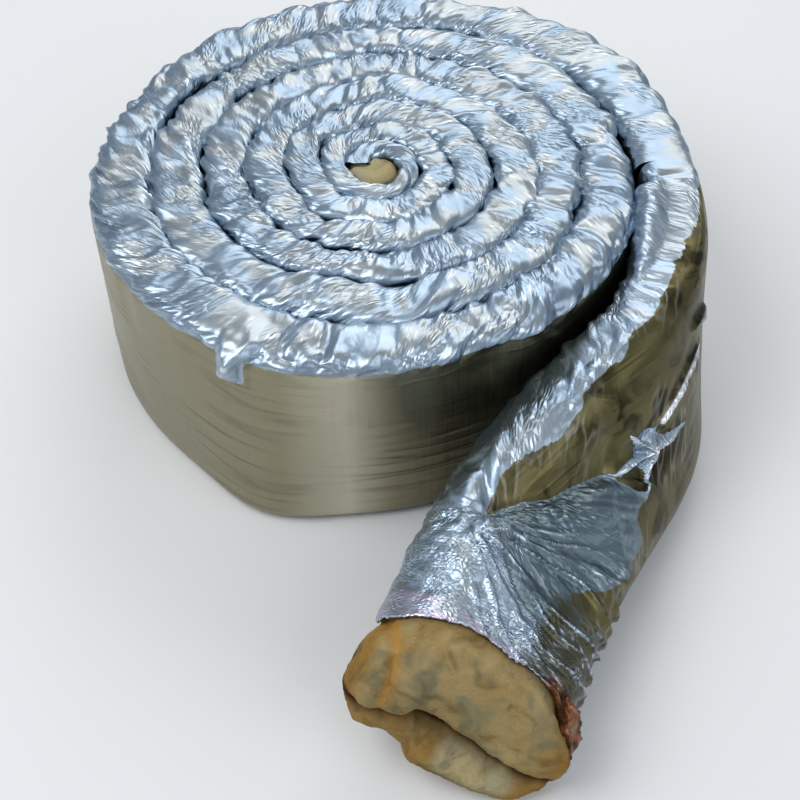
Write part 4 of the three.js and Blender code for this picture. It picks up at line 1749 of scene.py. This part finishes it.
class ROLL_OT_wool_end(bpy.types.Operator):
    """Makes the wool that sticks out of the mouth"""

    bl_idname = "roll.wool_end"
    bl_label = "Wool End"

    def execute(self, context):
        scene = context.scene
        material = shared_material("matted_wool", wool_material, scene.roll_finish)
        end = FreeEnd(scene.roll_coil, scene.roll_free_end)
        piece = linked(WoolEnd(end, scene.roll_wool).mesh(), material)
        declared(piece, "wool_blanket")
        return {"FINISHED"}


class ROLL_OT_wool_core(bpy.types.Operator):
    """Makes the wool that fills the coil's eye"""

    bl_idname = "roll.wool_core"
    bl_label = "Wool Core"

    def execute(self, context):
        scene = context.scene
        material = shared_material("matted_wool", wool_material, scene.roll_finish)
        piece = linked(WoolCore(scene.roll_coil, scene.roll_wool).mesh(), material)
        declared(piece, "wool_inner_end")
        return {"FINISHED"}


class ROLL_OT_stage(bpy.types.Operator):
    """Lays the floor and sets the lamps and the camera"""

    bl_idname = "roll.stage"
    bl_label = "Stage"

    LAMPS = (
        ("key_lamp", (-1.6, -0.6, 2.6), 2.0, 44),
        ("fill_lamp", (1.9, -1.8, 1.9), 2.4, 20),
        ("back_lamp", (0.6, 2.4, 2.2), 2.4, 36),
    )
    FLOOR_REACH = 6.0
    SENSOR = 36.0
    LENS = 63.8
    LOOK = (0.0005, 0.0362, 0.0)
    ELEVATION = math.radians(49.44)
    DISTANCE = 1.761

    def execute(self, context):
        scene = context.scene
        sides = np.array([(-1, -1, 0), (1, -1, 0), (1, 1, 0), (-1, 1, 0)])
        mesh = new_mesh("floor", sides * self.FLOOR_REACH, [(0, 1, 2, 3)])
        material, plan, shader = new_material("pale_floor")
        plan.fill(shader, {"Base Color": (0.82, 0.82, 0.81), "Roughness": 0.8})
        linked(mesh, material)

        world = bpy.data.worlds.new("studio")
        scene.world = world
        world.use_nodes = True
        sky = world.node_tree.nodes["Background"]
        Plan(world.node_tree).fill(sky, {"Color": (0.75, 0.82, 0.92), "Strength": 0.50})
        for name, place, size, power in self.LAMPS:
            lamp = bpy.data.lights.new(name, "AREA")
            lamp.size = size
            lamp.energy = power
            self.aimed(scene, name, lamp, Vector(place), Vector((0, 0, 0.1)))

        camera = bpy.data.cameras.new("camera")
        camera.sensor_width = self.SENSOR
        camera.lens = self.LENS
        look = Vector(self.LOOK)
        back = Vector((0, -math.cos(self.ELEVATION), math.sin(self.ELEVATION)))
        place = look + back * self.DISTANCE
        scene.camera = self.aimed(scene, "camera", camera, place, look)
        scene.view_settings.view_transform = "Standard"
        return {"FINISHED"}

    @staticmethod
    def aimed(scene, name, data, place, look):
        made = bpy.data.objects.new(name, data)
        made.location = place
        made.rotation_euler = (look - place).to_track_quat("-Z", "Y").to_euler()
        scene.collection.objects.link(made)
        return made


class ROLL_PT_panel(bpy.types.Panel):
    """Lists the pieces of the roll"""

    bl_label = "Insulation Roll"
    bl_space_type = "VIEW_3D"
    bl_region_type = "UI"
    bl_category = "Roll"

    def draw(self, context):
        for operator in OPERATORS:
            self.layout.operator(operator.bl_idname)


PROPERTIES = {
    "roll_coil": CoilSizes,
    "roll_free_end": FreeEndSizes,
    "roll_wool": WoolSizes,
    "roll_finish": Finish,
}
OPERATORS = (
    ROLL_OT_wound_film,
    ROLL_OT_free_end_film,
    ROLL_OT_wool_end,
    ROLL_OT_wool_core,
    ROLL_OT_stage,
)
CLASSES = (*PROPERTIES.values(), *OPERATORS, ROLL_PT_panel)


def register():
    for cls in CLASSES:
        bpy.utils.register_class(cls)
    for name, group in PROPERTIES.items():
        setattr(bpy.types.Scene, name, PointerProperty(type=group))


def unregister():
    for name in PROPERTIES:
        delattr(bpy.types.Scene, name)
    for cls in reversed(CLASSES):
        bpy.utils.unregister_class(cls)


def main():
    register()
    bpy.ops.roll.wound_film()
    bpy.ops.roll.free_end_film()
    bpy.ops.roll.wool_end()
    bpy.ops.roll.wool_core()
    bpy.ops.roll.stage()


if __name__ == "__main__":
    main()
